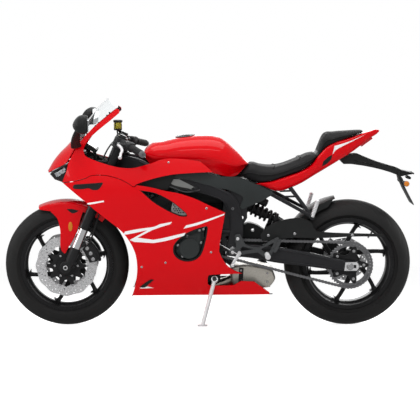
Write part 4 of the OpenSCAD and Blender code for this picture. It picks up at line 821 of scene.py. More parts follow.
def eased(at, knots, values):
    """Smooth curve through the knots: cubic Hermite spans whose slopes are the mean steepness about
    each knot; beyond the ends it stays at the end value."""
    knots, values = np.asarray(knots, float), np.asarray(values, float)
    slope = np.gradient(values, knots)
    at = np.clip(at, knots[0], knots[-1])
    k = np.clip(np.searchsorted(knots, at, "right") - 1, 0, len(knots) - 2)
    h = knots[k + 1] - knots[k]
    t = (at - knots[k]) / h
    return ((2 * t ** 3 - 3 * t ** 2 + 1) * values[k] + (t ** 3 - 2 * t ** 2 + t) * h * slope[k]
            + (3 * t ** 2 - 2 * t ** 3) * values[k + 1] + (t ** 3 - t ** 2) * h * slope[k + 1])


FAIRING_HALF = 235
LENGTH_X = [-790, -740, -690, -640, -560, -460, -340, -150, 50, 200, 330]
LENGTH_SHARE = [0.1, 0.36, 0.56, 0.7, 0.84, 0.94, 1, 1, 1, 0.95, 0.85]
HEIGHT_Z = [155, 220, 300, 420, 560, 640, 720, 800, 860, 930, 1085]
HEIGHT_SHARE = [0.5, 0.6, 0.74, 0.84, 0.95, 1, 0.98, 0.89, 0.79, 0.68, 0.5]


def flank(x, z):
    """Half width of the fairing: its greatest one times a share by length and a share by height."""
    return FAIRING_HALF * eased(x, LENGTH_X, LENGTH_SHARE) * eased(z, HEIGHT_Z, HEIGHT_SHARE)


def flank_point(flat, out=0.0):
    """Points of the left flank above a flat outline's x and z, moved out along the surface normal,
    which is the gradient of the half width with respect to x and z."""
    x, z = flat[:, 0], flat[:, 1]
    y = flank(x, z)
    slope_x, slope_z = flank(x + 1, z) - flank(x - 1, z), flank(x, z + 1) - flank(x, z - 1)
    normal = np.stack([-slope_x / 2, -np.ones_like(y), -slope_z / 2], -1)
    normal /= np.linalg.norm(normal, axis=1)[:, None]
    return np.stack([x, -y, z], -1) + normal * np.asarray(out, float).reshape(-1, 1) * np.ones((len(x), 1))


def runs(*lists, step=7.0):
    """Closed outline of smooth runs that meet at corners: each run is a Catmull-Rom curve sampled
    about every step; a run ends where the next starts."""
    out = []
    for k, run in enumerate(lists):
        after = lists[(k + 1) % len(lists)][0]
        line = np.array(list(run) + [after], float)
        length = np.linalg.norm(np.diff(line, axis=0), axis=1).sum()
        out.append(through(line, max(3, int(length / step) + 2))[:-1])
    return np.concatenate(out)


def moved_in(loop, inset):
    """The closed loop moved inwards by inset along the mean normal of the edges at each point."""
    loop = loop[np.linalg.norm(np.roll(loop, -1, 0) - loop, axis=1) > 0.01]
    step = np.roll(loop, -1, 0) - loop
    step /= np.linalg.norm(step, axis=1)[:, None]
    d = step + np.roll(step, 1, 0)
    d /= np.maximum(np.linalg.norm(d, axis=1), 1e-6)[:, None]
    area = (loop[:, 0] * np.roll(loop[:, 1], -1) - loop[:, 1] * np.roll(loop[:, 0], -1)).sum()
    return loop + np.stack([-d[:, 1], d[:, 0]], -1) * inset * np.sign(area)


def flank_panel(outline, holes=(), out=0.0, thick=PANEL_THICK, pitch=16.0):
    """A panel of the left flank: the outline's net laid on the flank, with its back thick inside."""
    net = cut_flat(outline, holes, pitch)
    return walled(net, lambda f: flank_point(f, out), lambda f: flank_point(f, out - thick))


upper_outline = runs([(-672, 811), (-652, 850), (-628, 892), (-600, 930), (-555, 978), (-497, 1027),
                      (-441, 1072)], [(-441, 1072), (-431, 1072), (-425, 1064), (-427, 1053)],
                     [(-427, 1053), (-470, 1017), (-521, 976), (-556, 945), (-578, 918), (-594, 890),
                      (-596, 868), (-587, 850), (-560, 836), (-516, 821), (-445, 802), (-392, 796),
                      (-349, 798), (-278, 817), (-230, 834), (-183, 841), (-120, 838), (-88, 835),
                      (-40, 828)], [(-40, 828), (-8, 803), (20, 779)],
                     [(20, 779), (-88, 774), (-183, 765), (-279, 743), (-343, 721)],
                     [(-343, 721), (-356, 711), (-385, 729), (-422, 746), (-460, 757), (-493, 762),
                      (-530, 763), (-565, 757), (-584, 747), (-640, 730), (-701, 720)],
                     [(-701, 720), (-690, 748), (-678, 780)])
stand_slot = [(163, 281), (84, 278), (12, 275), (2, 269), (-1, 258), (-1, 232), (3, 222), (12, 218),
              (70, 217), (126, 219)]
main_outline = runs([(-699, 716), (-640, 672), (-589, 633), (-532, 586), (-469, 538), (-412, 490),
                     (-374, 438), (-352, 390), (-343, 347), (-341, 300), (-345, 261), (-353, 213),
                     (-367, 166)], [(-367, 166), (-180, 168), (0, 169), (296, 169)],
                    [(296, 169), (303, 172), (300, 180)], [(300, 180), (262, 208), (226, 236)],
                    [(226, 236), (162, 240)], [(162, 240), (146, 232), (126, 219)], stand_slot[::-1],
                    [(163, 281), (128, 297), (94, 321), (68, 358), (53, 393)],
                    [(53, 393), (55, 427), (62, 475), (70, 522), (80, 586)],
                    [(80, 586), (8, 619), (-64, 653), (-135, 677), (-207, 691), (-278, 708), (-338, 717)],
                    [(-338, 717), (-356, 708), (-385, 726), (-422, 743), (-460, 754), (-493, 759),
                     (-530, 760), (-565, 754), (-584, 744), (-640, 727)])
slot_hole = runs([(-328, 694), (-254, 681), (-183, 647), (-135, 610), (-108, 585)],
                 [(-108, 585), (-101, 575), (-104, 567), (-118, 565), (-135, 567)],
                 [(-135, 567), (-183, 588), (-256, 632), (-300, 670)])
window_hole = runs([(-169, 403), (-166, 422), (-154, 442), (-130, 466), (-102, 486), (-54, 508),
                    (-14, 519)], [(-14, 519), (-4, 518), (-2, 506)],
                   [(-2, 506), (-8, 466), (-16, 427), (-26, 394), (-38, 371), (-59, 352), (-82, 344),
                    (-105, 342), (-135, 350), (-156, 366), (-167, 385)])
for side, name in ((1, "left"), (-1, "right")):
    turn_over = (lambda s: s) if side == 1 else mirrored
    put(f"fairing_upper_{name}", turn_over(flank_panel(upper_outline, (), 1.0)), "chassis",
        red_gloss, [f"side_fairing_{name}"], bevel=0.9)
    put(f"fairing_main_{name}", turn_over(flank_panel(main_outline, [slot_hole, window_hole])), "chassis",
        red_gloss, bevel=0.9)
    liner = joined(flank_panel(moved_in(upper_outline, 2.5), (), 1.0 - PANEL_THICK - 0.2, 1.0, 26),
                   flank_panel(moved_in(main_outline, 2.5),
                               [moved_in(slot_hole, -3), moved_in(window_hole, -3)], -PANEL_THICK - 0.2,
                               1.0, 26))
    put(f"fairing_backs_{name}", turn_over(liner), "chassis", moulded_black)
    # Black lip inside the air slot, a mesh insert at its tail, and the black shroud round the window
    lip = flank_panel(moved_in(slot_hole, -5), [moved_in(slot_hole, 3.5)], -4.2, 7, 9)
    shroud = flank_panel(moved_in(window_hole, -6), [moved_in(window_hole, 7)], -4.0, 9, 9)
    put(f"fairing_liners_{name}", turn_over(joined(lip, shroud)), "chassis",
        moulded_black, bevel=0.6)
    insert = runs([(-170, 636), (-135, 607), (-108, 583)],
                  [(-108, 583), (-102, 574), (-106, 568), (-122, 567)],
                  [(-122, 567), (-160, 580), (-176, 592)])
    cells = [ring_points(4.4, 6, (x + (row % 2) * 5.5, z)) for row, z in enumerate(np.arange(572, 632, 9.5))
             for x in np.arange(-170, -104, 11.0)]
    cells = [c for c in cells if inside(c, moved_in(insert, 2.5)).all()]
    put(f"slot_mesh_{name}", turn_over(flank_panel(insert, cells, -13, 3, 0)), "chassis",
        mesh_grey)
    # Dark vane vent on the nose's flank: a frame with three slats
    vent = runs([(-648, 699), (-640, 712), (-600, 717), (-506, 727)],
                [(-506, 727), (-502, 722), (-516, 700), (-530, 691)],
                [(-530, 691), (-552, 691), (-570, 698), (-600, 693), (-640, 692)])
    slats = [flank_panel(runs([(-636 + d, 696 + k * 6), (-560 + d, 701 + k * 7), (-518, 704 + k * 7.5)],
                              [(-518, 708 + k * 7.5), (-560 + d, 705 + k * 7), (-636 + d, 699 + k * 6)]),
                         (), 2.6, 4, 12) for k, d in ((0, 4), (1, 2), (2, 8))]
    put(f"nose_vent_{name}", turn_over(joined(flank_panel(vent, (), 1.4, 3, 10), *slats)), "chassis",
        moulded_black, bevel=0.5)
    # Plain white stripes in cut film: a kinked band with a return stroke, a long wedge to the rear
    # edge, and one short stripe on the nose
    films = [runs([(-398, 492), (-330, 506), (-262, 516), (-232, 529)], [(-232, 529), (-172, 541)],
                  [(-172, 541), (-182, 529)], [(-182, 529), (-230, 514)], [(-230, 514), (-268, 500)],
                  [(-268, 500), (-338, 462)], [(-338, 462), (-262, 452)],
                  [(-262, 452), (-210, 462), (-108, 487)], [(-108, 487), (-116, 472)],
                  [(-116, 472), (-196, 448), (-262, 436)], [(-262, 436), (-352, 441)],
                  [(-352, 441), (-376, 450)], [(-376, 450), (-290, 500)], [(-290, 500), (-396, 477)]),
             runs([(-118, 507), (-106, 523)], [(-106, 523), (-40, 541), (76, 581)], [(76, 581), (76, 574)],
                  [(76, 574), (-40, 529), (-118, 507)]),
             runs([(-577, 627), (-498, 642)], [(-498, 642), (-497, 635)], [(-497, 635), (-569, 620)]),
             runs([(-326, 208), (-292, 214)], [(-292, 214), (-262, 206)], [(-262, 206), (-326, 203)])]
    put(f"fairing_stripes_{name}", turn_over(joined(*[flank_panel(f, (), 0.5, 0.6, 12) for f in films])),
        "chassis", white_film)
    # A small black fin in a recess, low on the panel
    fin = runs([(-330, 212), (-300, 236), (-276, 252)], [(-276, 252), (-262, 250)],
               [(-262, 250), (-288, 226), (-306, 210)])
    put(f"fairing_fin_{name}", turn_over(flank_panel(fin, (), 3.0, 6, 8)), "chassis",
        moulded_black, bevel=0.6)
    # Button-head screws that hold the panels
    heads = []
    for x, z in ((-319, 316), (-205, 338), (14, 390), (-9, 607), (-190, 822), (-590, 872)):
        place = flank_point(np.array([[x, z]]), 1.2)[0]
        heads.append(lathed(place + [0, 1.5, 0], (0, -1, 0),
                            [[0, 5.4], [1.6, 5.4], [2.8, 4.2], [3.1, 2.4], [1.6, 2.2], [1.5, 0.6]], 16))
    put(f"fairing_screws_{name}", turn_over(joined(*heads)), "chassis", steel_bright)

duct = cut_flat(runs([(-372, 722), (-330, 752), (-262, 776), (-196, 790)], [(-196, 790), (-150, 770)],
                     [(-150, 770), (-196, 690)], [(-196, 690), (-280, 698), (-372, 712)]), (), 16)
put("air_ducts",
    both(walled(duct,
                lambda f: np.stack([f[:, 0], -np.interp(f[:, 0], [-380, -150], [204, 180]), f[:, 1]], -1),
                lambda f: np.stack([f[:, 0], -np.interp(f[:, 0], [-380, -150], [200, 176]), f[:, 1]],
                                   -1))), "chassis", moulded_black)

# ---- Nose and screen ----
# The nose shell runs from a pointed brow up to the foot of a clear, slightly smoked screen, which
# is screwed to the two red arms beside it.
NOSE_CENTRE = [(-780, 764), (-752, 812), (-722, 850), (-690, 882), (-660, 914)]
NOSE_EDGE = [(-773, 760), (-730, 785), (-682, 814), (-650, 867), (-612, 922)]


def channel(lattice):
    """A lattice whose columns run out along one face and back along the other; the strip between
    the two faces closes its first and last rows."""
    rows, cols = lattice.shape[:2]
    k = np.arange(cols // 2 - 1)
    strip = np.stack([k, k + 1, cols - 2 - k, cols - 1 - k], -1)
    points = lattice.reshape(-1, 3)
    faces = list(grid_quads(rows, cols, False, True)) + list(strip) + list(strip[:, ::-1] + (rows - 1) * cols)
    return points, faced_out(points, faces)


def bowed_sheet(centre, edge, width, thick, rows, cols, push=0.0, power=2.0):
    """A sheet bowed across the machine: at share v of the half width, x and z move from the centre
    line's to the edge's by v squared. Its back lies thick behind. Rows run along both lines."""
    c, e = through(centre, rows), through(edge, rows)
    v = np.linspace(-1, 1, cols)
    bend = np.abs(v) ** power
    half = width(e[:, 0], e[:, 1])
    x = c[:, :1] + (e[:, :1] - c[:, :1]) * bend
    z = c[:, 1:] + (e[:, 1:] - c[:, 1:]) * bend
    y = half[:, None] * v[None]
    skin = np.stack([x, y, z], -1)
    du, dv = np.gradient(skin, axis=0), np.gradient(skin, axis=1)
    normal = np.cross(du, dv)
    normal /= np.linalg.norm(normal, axis=2)[..., None]
    if normal[rows // 2, cols // 2, 0] > 0:
        normal = -normal
    front, back = skin + normal * push, skin + normal * (push - thick)
    return channel(np.concatenate([front, back[:, ::-1]], 1))


put("nose_shell",
    bowed_sheet(NOSE_CENTRE, NOSE_EDGE, lambda x, z: flank(x, z) + 0.5, 3.5, 30, 49, 0.8, 1.9), "chassis",
    red_gloss, ["nose_fairing"], bevel=0.9)
brow = runs([(-777, 757), (-731, 781), (-690, 806)], [(-690, 806), (-672, 808), (-688, 798), (-731, 775)])
put("brow_trim", both(flank_panel(brow, (), -0.5, 5, 10)), "chassis", moulded_black)

screen_clear = finish("screen_clear", (0.86, 0.872, 0.876), (0.83, 0.842, 0.846), 0.02, 0.01, 200, 0.0, 2.0,
                      Transmission_Weight=1.0, IOR=1.12, Specular_IOR_Level=0.2)
SCREEN_CENTRE = [(-664, 908), (-655, 916), (-618, 969), (-572, 1030), (-527, 1084), (-486, 1122)]
SCREEN_EDGE = [(-608, 920), (-598, 930), (-556, 970), (-518, 1004), (-478, 1041), (-440, 1074)]
put("screen_sheet",
    bowed_sheet(SCREEN_CENTRE, SCREEN_EDGE, lambda x, z: flank(x, z) - 3, 3, 34, 41, -1.0, 2.2), "chassis",
    screen_clear, ["windscreen"])
screen_screws = []
for t in (0.22, 0.5, 0.78):
    x, z = through(SCREEN_EDGE, 101)[int(t * 100)]
    place = flank_point(np.array([[x - 3, z + 3]]), 0)[0]
    screen_screws.append(lathed(place + [0, 3, 0], (0, -1, 0),
                                [[0, 4.6], [3.4, 4.6], [4.6, 3.4], [4.8, 1.8], [3.6, 1.6]], 14))
put("screen_screws", both(joined(*screen_screws)), "chassis", carrier_black)

# ---- Headlights ----
# A black moulded housing under the brow, with a slit of clear lens over grey reflectors each side
# and a chin below; it follows the nose's sweep.
lamp_inner = np.array([[-768, 752], [-672, 772], [-672, 712], [-706, 710], [-744, 724]], float)
lamp_mid = np.array([[-722, 774], [-668, 786], [-668, 718], [-690, 716], [-712, 744]], float)
lamp_outer = np.array([[-686, 796], [-666, 798], [-666, 736], [-672, 738], [-682, 768]], float)


def lamp_section(y):
    """Lamp unit's side section at y: a smooth curve, over the distance from the middle plane,
    through the inner, middle and outer sections."""
    stack = np.stack([lamp_inner + [3, 0], lamp_inner, lamp_mid, lamp_outer]).reshape(4, -1)
    return np.array([eased(abs(y), [0, 38, 84, 110], column) for column in stack.T]).reshape(5, 2)


lamp_rows = np.linspace(-110, 110, 45)
sections = np.stack([lamp_section(y) for y in lamp_rows])
fine = np.concatenate([sections[:, [0]], sections[:, [0]] * 0.5 + sections[:, [1]] * 0.5, sections[:, [1]],
                       sections[:, [1]] * 0.5 + sections[:, [2]] * 0.5, sections[:, [2]], sections[:, [3]],
                       sections[:, [3]] * 0.5 + sections[:, [4]] * 0.5, sections[:, [4]]], 1)
housing = np.stack([fine[..., 0], np.broadcast_to(lamp_rows[:, None], fine.shape[:2]), fine[..., 1]], -1)
put("headlight_housing", capped(housing), "chassis", moulded_black, ["headlights"],
    sharp=30, bevel=0.8)
lamp_glass = finish("lamp_glass", (0.9, 0.92, 0.93), (0.88, 0.9, 0.91), 0.03, 0.01, 200, 0.0, 2.0,
                    Transmission_Weight=0.85, IOR=1.25)
reflector_grey = finish("lamp_reflector", (0.5, 0.52, 0.53), (0.36, 0.38, 0.4), 0.24, 0.1, 220, 0.3, 20.0,
                        Metallic=0.7)


def lamp_band(y0, y1, low, high, out, thick):
    """Part of the lamp's front face, from share low to high between its lens edge and its brow."""
    rows = np.linspace(y0, y1, 24)
    s = np.stack([lamp_section(y) for y in rows])
    share = np.array([low, (low + high) / 2, high])[None, :, None]
    face = s[:, None, 4] * (1 - share) + s[:, None, 0] * share
    skin = np.stack([face[..., 0], np.broadcast_to(rows[:, None], face.shape[:2]), face[..., 1]], -1)
    side = np.sign(y0 + y1)
    normal = np.cross(np.gradient(skin, axis=0), np.gradient(skin, axis=1))
    normal /= np.linalg.norm(normal, axis=2)[..., None]
    if normal[..., 0].mean() > 0:
        normal = -normal
    ring = np.concatenate([skin + normal * out, (skin + normal * (out - thick))[:, ::-1]], 1)
    return capped(ring)


reflectors, lenses = [], []
for low_y, high_y in ((-106, -86), (-83, -64)):
    reflectors.append(lamp_band(low_y, high_y, 0.22, 0.86, 0.9, 2))
lenses.append(lamp_band(-108, -76, 0.16, 0.86, 3.2, 1.8))
put("headlight_reflectors", both(joined(*reflectors)), "chassis", reflector_grey, bevel=0.4)
put("headlight_lenses", both(joined(*lenses)), "chassis", lamp_glass)

# ---- Fuel tank ----
# Pressed steel tank in the same red: broad shoulders over the knees, a drop at its tail, and a
# flush filler cap with a bolted ring and a hinged lock cover.


def section_loft(stations, count, ring):
    """A body lofted along x: each column of the stations is eased between its knots and passed to
    ring, which returns that section's closed loop of (y, z)."""
    stations = np.asarray(stations, float)
    x = np.linspace(stations[0, 0], stations[-1, 0], count)
    columns = [eased(x, stations[:, 0], stations[:, k]) for k in range(1, stations.shape[1])]
    loops = np.stack([ring(x[i], *[c[i] for c in columns]) for i in range(count)])
    return capped(np.concatenate([np.broadcast_to(x[:, None, None], loops.shape[:2] + (1,)), loops], 2))


def tank_ring(x, half, low, high):
    """Crowned section: a flattened ellipse over the shoulders, widest at 38 per cent of its height,
    with a knee hollow below it whose depth grows towards the rear."""
    a = np.linspace(0, math.pi, 41)
    c, s = np.cos(a), np.sin(a)
    shoulder = low + (high - low) * 0.38
    top = np.stack([half * np.sign(c) * np.abs(c) ** 0.8, shoulder + (high - shoulder) * s ** 0.86], -1)
    t = np.linspace(0, 1, 12)[1:]
    knee = 10 + 8 * np.clip((x + 60) / 180, 0, 1)
    side = half - knee * np.sin(math.pi * t * 0.62) - half * 0.06 * t
    down = np.stack([side, shoulder - (shoulder - low) * t], -1)
    under = np.stack([np.linspace(down[-1, 0], -down[-1, 0], 11)[1:-1], np.full(9, low)], -1)
    left = down[::-1] * [-1, 1]
    return np.concatenate([top[::-1], down, under, left])


tank_stations = [[-309, 74, 846, 866], [-300, 88, 832, 878], [-283, 100, 808, 893], [-209, 122, 782, 914],
                 [-136, 136, 774, 932], [-86, 140, 772, 938], [-37, 142, 772, 941], [36, 142, 762, 938],
                 [71, 138, 752, 928], [110, 126, 746, 900], [140, 110, 752, 872], [165, 94, 774, 846],
                 [186, 78, 796, 820], [196, 68, 803, 810]]
put("tank_shell", section_loft(tank_stations, 110, tank_ring), "chassis", red_gloss,
    ["fuel_tank"], sharp=48)
cap_up = np.array([-0.12, 0, 0.9928])
cap_foot = np.array([-110, 0, 933.0])
put("filler_cap",
    lathed(cap_foot, cap_up,
           [[-10, 50], [1.4, 50], [3.4, 48.4], [4, 36], [3, 35], [3, 33.6], [5, 32], [6.2, 29], [6.6, 4]],
           64), "chassis", cast_black, ["fuel_cap"])
cap_screws = []
for k in range(7):
    a = k * math.pi / 3.5
    place = cap_foot + 3.4 * cap_up + [42 * math.cos(a), 42 * math.sin(a), 42 * math.cos(a) * 0.087]
    cap_screws.append(lathed(place, cap_up, [[0, 3.8], [2.2, 3.8], [2.8, 3], [2.8, 1.8], [1, 1.6]], 12))
key_cover = swept([cap_foot + [-17, 0, 5.6], cap_foot + [0, 0, 8.2], cap_foot + [16, 0, 8.6]],
                  rounded_ring(20, 3), [9, 10, 8], 3.2)
put("filler_cap_screws", joined(*cap_screws, key_cover), "chassis", steel_bright)

# ---- Seats ----
# Foam saddles under black covers: a dished rider's one with a raised tail and a thin stepped one
# behind for the passenger. Each cover is simulated over its foam, then sewn with a welt and seams.
leather = finish("seat_cover", (0.008, 0.008, 0.0085), (0.015, 0.015, 0.0155), 0.62, 0.14, 1500, 0.45, 7.0,
                 Specular_IOR_Level=0.14)
leather_dark = finish("seat_seam", (0.006, 0.006, 0.006), (0.012, 0.012, 0.012), 0.6, 0.1, 1800, 0.2, 7.0)


def seat_ring(power):
    """Ring maker for a cushion: a flat base, sides that lean out to half of the height and a
    crown that falls off by the given power of the share across."""
    def ring(x, half, low, high, dish):
        v = np.linspace(1, -1, 33)
        shoulder = low + (high - low) * 0.5
        hollow = dish * np.cos(math.pi * v / 2) ** 2 * 0.5
        crown = shoulder + (high - shoulder) * (1 - np.abs(v) ** power) ** 0.6 - hollow
        top = np.stack([half * v, crown], -1)
        t = np.linspace(0, 1, 6)[1:]
        left = np.stack([-half + 8 * t ** 1.5, shoulder - (shoulder - low) * t], -1)
        base = np.stack([np.linspace(-half + 8, half - 8, 13)[1:-1], np.full(11, low)], -1)
        return np.concatenate([top, left, base, left[::-1] * [-1, 1]])
    return ring


def cushioned(name, shape, cap, hold):
    """Simulates the cover: the shape is remeshed at 5.5 mm, swelled by cloth pressure with gravity
    off and the points that hold returns true for pinned, each point's move is capped at cap mm, and
    the result is smoothed six times. Returns points and faces in the upright frame's millimetres."""
    mesh = bpy.data.meshes.new(name + "_foam")
    mesh.from_pydata((shape[0] / 1000).tolist(), [], [list(map(int, f)) for f in shape[1]])
    pad = bpy.data.objects.new(name + "_foam", mesh)
    bpy.context.scene.collection.objects.link(pad)
    remesh = pad.modifiers.new("voxels", "REMESH")
    remesh.mode, remesh.voxel_size = "VOXEL", 0.0055

    def settle():
        """Applies the pad's modifiers and returns its points."""
        graph = bpy.context.evaluated_depsgraph_get()
        out = bpy.data.meshes.new_from_object(pad.evaluated_get(graph), depsgraph=graph)
        old = pad.data
        pad.modifiers.clear()
        pad.data = out
        bpy.data.meshes.remove(old)
        co = np.zeros(len(out.vertices) * 3, np.float32)
        out.vertices.foreach_get("co", co)
        return co.reshape(-1, 3).astype(float)

    start = settle()
    group = pad.vertex_groups.new(name="held")
    group.add(np.nonzero(hold(start * 1000))[0].tolist(), 1.0, "REPLACE")
    cloth = pad.modifiers.new("cover", "CLOTH")
    cloth.settings.use_pressure = True
    cloth.settings.uniform_pressure_force = 4.0
    cloth.settings.effector_weights.gravity = 0
    cloth.settings.vertex_group_mass = "held"
    cloth.settings.tension_stiffness = cloth.settings.compression_stiffness = 30
    cloth.settings.shear_stiffness = 12
    cloth.settings.quality = 4
    cloth.point_cache.frame_start, cloth.point_cache.frame_end = 1, 20
    for step in range(1, 21):
        bpy.context.scene.frame_set(step)
        pad.evaluated_get(bpy.context.evaluated_depsgraph_get())
    swelled = settle()
    bpy.context.scene.frame_set(1)
    move = swelled - start
    length = np.linalg.norm(move, axis=1)
    move *= np.minimum(1, cap / 1000 / np.maximum(length, 1e-9))[:, None]
    pad.data.vertices.foreach_set("co", (start + move).astype(np.float32).ravel())
    finer = pad.modifiers.new("relax", "SMOOTH")
    finer.factor, finer.iterations = 0.5, 6
    points = settle() * 1000
    faces = [list(p.vertices) for p in pad.data.polygons]
    mesh = pad.data
    bpy.data.objects.remove(pad)
    bpy.data.meshes.remove(mesh)
    return points, faces


def on_top(shape, x, y, lift=0.0):
    """Height of the shape's upper side at each x, y: the highest point within 7 mm, plus lift."""
    p = shape[0]
    out = []
    for a, b in zip(np.atleast_1d(x), np.atleast_1d(y)):
        near = (np.abs(p[:, 0] - a) < 7) & (np.abs(p[:, 1] - b) < 7)
        out.append([a, b, p[near, 2].max() + lift if near.any() else np.nan])
    out = np.array(out)
    return out[~np.isnan(out[:, 2])]


rider_stations = [[160, 78, 746, 756, 0], [176, 92, 738, 778, 0], [196, 100, 731, 797, 0],
                  [215, 106, 724, 803, 1], [254, 114, 719, 794, 5], [303, 118, 724, 789, 9],
                  [352, 118, 741, 794, 10], [400, 115, 757, 810, 9], [449, 110, 774, 830, 6],
                  [498, 104, 806, 850, 2], [522, 97, 834, 852, 0], [526, 94, 838, 848, 0]]
rider_foam = section_loft(rider_stations, 76, seat_ring(3.4))
rider_cover = cushioned("rider_seat", rider_foam, 6.0, lambda p: p[:, 2] < eased(
    p[:, 0], [s[0] for s in rider_stations], [s[2] + 9 for s in rider_stations]))
rider_pad = put("rider_saddle", rider_cover, "chassis", leather, ["rider_seat"], sharp=50)
passenger_stations = [[530, 84, 842, 850, 0], [540, 88, 852, 884, 0], [549, 90, 862, 902, 0],
                      [556, 91, 870, 928, 0], [564, 92, 879, 946, 0], [574, 92, 888, 953, 0],
                      [600, 90, 901, 952, 2], [640, 82, 917, 957, 3], [689, 70, 934, 961, 2],
                      [735, 50, 949, 965, 0], [757, 38, 955, 966, 0]]
passenger_foam = section_loft(passenger_stations, 60, seat_ring(3.0))
passenger_cover = cushioned("passenger_seat", passenger_foam, 5.0, lambda p: p[:, 2] < eased(
    p[:, 0], [s[0] for s in passenger_stations], [s[2] + 8 for s in passenger_stations]))
passenger_pad = put("passenger_saddle", passenger_cover, "chassis", leather,
                    ["passenger_seat"], sharp=50)

put("seat_bridge",
    section_loft([[508, 78, 822, 838, 0], [530, 82, 834, 862, 0], [550, 86, 850, 898, 0],
                  [568, 78, 868, 926, 0]], 20, seat_ring(3.0)), "chassis", moulded_black,
    bevel=0.8)


def welt(stations, inset, rise, low_share):
    """Piping along a seat's left edge, at a share of its height, inset from its half width."""
    s = np.asarray(stations, float)
    x = np.linspace(s[0, 0] + 6, s[-1, 0] - 6, 40)
    half, low, high = (eased(x, s[:, 0], s[:, k]) for k in (1, 2, 3))
    return np.stack([x, -half - inset, low + (high - low) * low_share + rise], -1)


seams = []
for stations in (rider_stations, passenger_stations):
    seams.append(both(piped(welt(stations, 1.5, 0, 0.5), 1.9, 70, 8)))
cross_line = on_top(rider_cover, 330 - 0.0018 * np.linspace(-88, 88, 23) ** 2, np.linspace(-88, 88, 23), 0.4)
seams.append(piped(cross_line, 1.6, 60, 8))
cross_line = on_top(rider_cover, 452 - 0.002 * np.linspace(-80, 80, 21) ** 2, np.linspace(-80, 80, 21), 0.4)
seams.append(piped(cross_line, 1.6, 60, 8))
put("seat_seams", joined(*seams), "chassis", leather_dark)

# ---- Tail ----
# The tail cowl is red plastic under both seats, with a crease along each flank, a white stripe by
# the passenger's seat and a dark vent ahead of it; two lamp strips sit under its tip.
tail_stations = [[229, 104, 706, 711], [262, 119, 697, 716], [301, 124, 680, 721], [350, 125, 673, 736],
                 [398, 124, 688, 752], [447, 120, 709, 770], [505, 112, 743, 806], [530, 107, 758, 838],
                 [544, 104, 766, 856], [578, 97, 786, 890], [617, 90, 809, 910], [655, 83, 833, 921],
                 [689, 74, 853, 930], [738, 57, 887, 946], [790, 32, 926, 960], [828, 13, 949, 968],
                 [838, 6, 958, 965]]


def tail_ring(x, half, low, high):
    """Cowl section: flat on top, a shoulder at three quarters of the height where it is widest, a
    crease, and a flank that draws in to the underside."""
    tall = high - low
    pull = np.array([[0.86, 1.0], [0.94, 0.97], [0.99, 0.9], [1.0, 0.8], [0.995, 0.66], [0.975, 0.52],
                     [0.985, 0.47], [0.975, 0.38], [0.93, 0.24], [0.86, 0.11], [0.76, 0.03], [0.66, 0.0]])
    right = np.stack([half * pull[:, 0], low + tall * pull[:, 1]], -1)
    return np.concatenate([right, right[::-1] * [-1, 1]])


def tail_side(x, share, out=0.0):
    """Point of the cowl's left flank at x, a share of the way up its section."""
    s = np.asarray(tail_stations, float)
    half, low, high = (eased(x, s[:, 0], s[:, k]) for k in (1, 2, 3))
    width = np.interp(share, [0, 0.03, 0.11, 0.24, 0.38, 0.47, 0.52, 0.66, 0.8, 0.9, 0.97, 1.0],
                      [0.66, 0.76, 0.86, 0.93, 0.975, 0.985, 0.975, 0.995, 1.0, 0.99, 0.94, 0.86])
    return np.stack([x + 0 * width, -half * width - out, low + (high - low) * share], -1)


put("tail_shell", section_loft(tail_stations, 96, tail_ring), "chassis", red_gloss,
    ["tail_cowl"], sharp=42)


def tail_patch(corners, out, thick):
    """A raised patch on the flank between two rows of (x, share) points."""
    upper, lower = (through(np.asarray(c, float), 24) for c in corners)
    rows = np.stack([lower * (1 - t) + upper * t for t in np.linspace(0, 1, 7)], 1)
    skin = tail_side(rows[..., 0], rows[..., 1], out)
    back = tail_side(rows[..., 0], rows[..., 1], out - thick)
    return capped(np.concatenate([skin, back[:, ::-1]], 1))


stripe = tail_patch([[(612, 0.86), (640, 0.83), (700, 0.82), (770, 0.8)],
                     [(602, 0.5), (616, 0.62), (645, 0.68), (690, 0.74)]], 0.4, 0.9)
put("tail_stripes", both(stripe), "chassis", white_film)
vent_hole = tail_patch([[(556, 0.46), (580, 0.5), (602, 0.5)], [(552, 0.26), (576, 0.22), (596, 0.3)]],
                       0.5, 1.4)
put("tail_vents", both(vent_hole), "chassis", moulded_black)
lens_red = finish("lens_red", (0.5, 0.0, 0.004), (0.38, 0.0, 0.003), 0.12, 0.06, 240, 0.25, 30.0,
                  Coat_Weight=0.8)
strip = swept(through([(748, -20, 890), (772, -16, 908), (802, -9, 928)], 12), rounded_ring(16, 3.4),
              [7, 8, 8, 8, 8, 8, 8, 7.6, 7, 6.4, 6, 4.6], 6.5)
put("tail_lamp_strips", both(strip), "chassis", lens_red, ["tail_light"])

# ---- Plate hanger and rear indicators ----
# A black bracket behind the tail carries the blank plate's panel, a small lamp over it and an
# indicator on a stalk each side.
hanger_top = [(640, 824), (666, 836), (700, 848), (730, 850), (760, 838), (820, 814), (880, 795),
              (925, 782), (962, 766), (1006, 760)]
hanger_low = [(1010, 752), (972, 746), (946, 740), (925, 748), (880, 764), (820, 780), (760, 792),
              (730, 796), (700, 800), (664, 800)]
hanger_net = cut_flat(runs(hanger_top, [(1006, 760), (1010, 752)], hanger_low, [(664, 800), (640, 824)],
                           step=9),
                      [runs([(716, 820), (760, 811), (806, 799)], [(806, 799), (806, 792)],
                            [(806, 792), (760, 801), (718, 810)])])
put("hanger_arm",
    joined(upright_plate(hanger_net, -27, -21), upright_plate(hanger_net, 21, 27),
           swept(through([(700, 0, 820), (760, 0, 806), (850, 0, 786), (925, 0, 768)], 20),
                 rounded_ring(16, 4), 23, 5),
           swept(through([(930, 0, 772), (965, 0, 764), (1008, 0, 754)], 12), rounded_ring(24, 5),
                 np.linspace(26, 45, 12), 3.4)), "chassis", moulded_black,
    ["plate_hanger"], bevel=0.8)
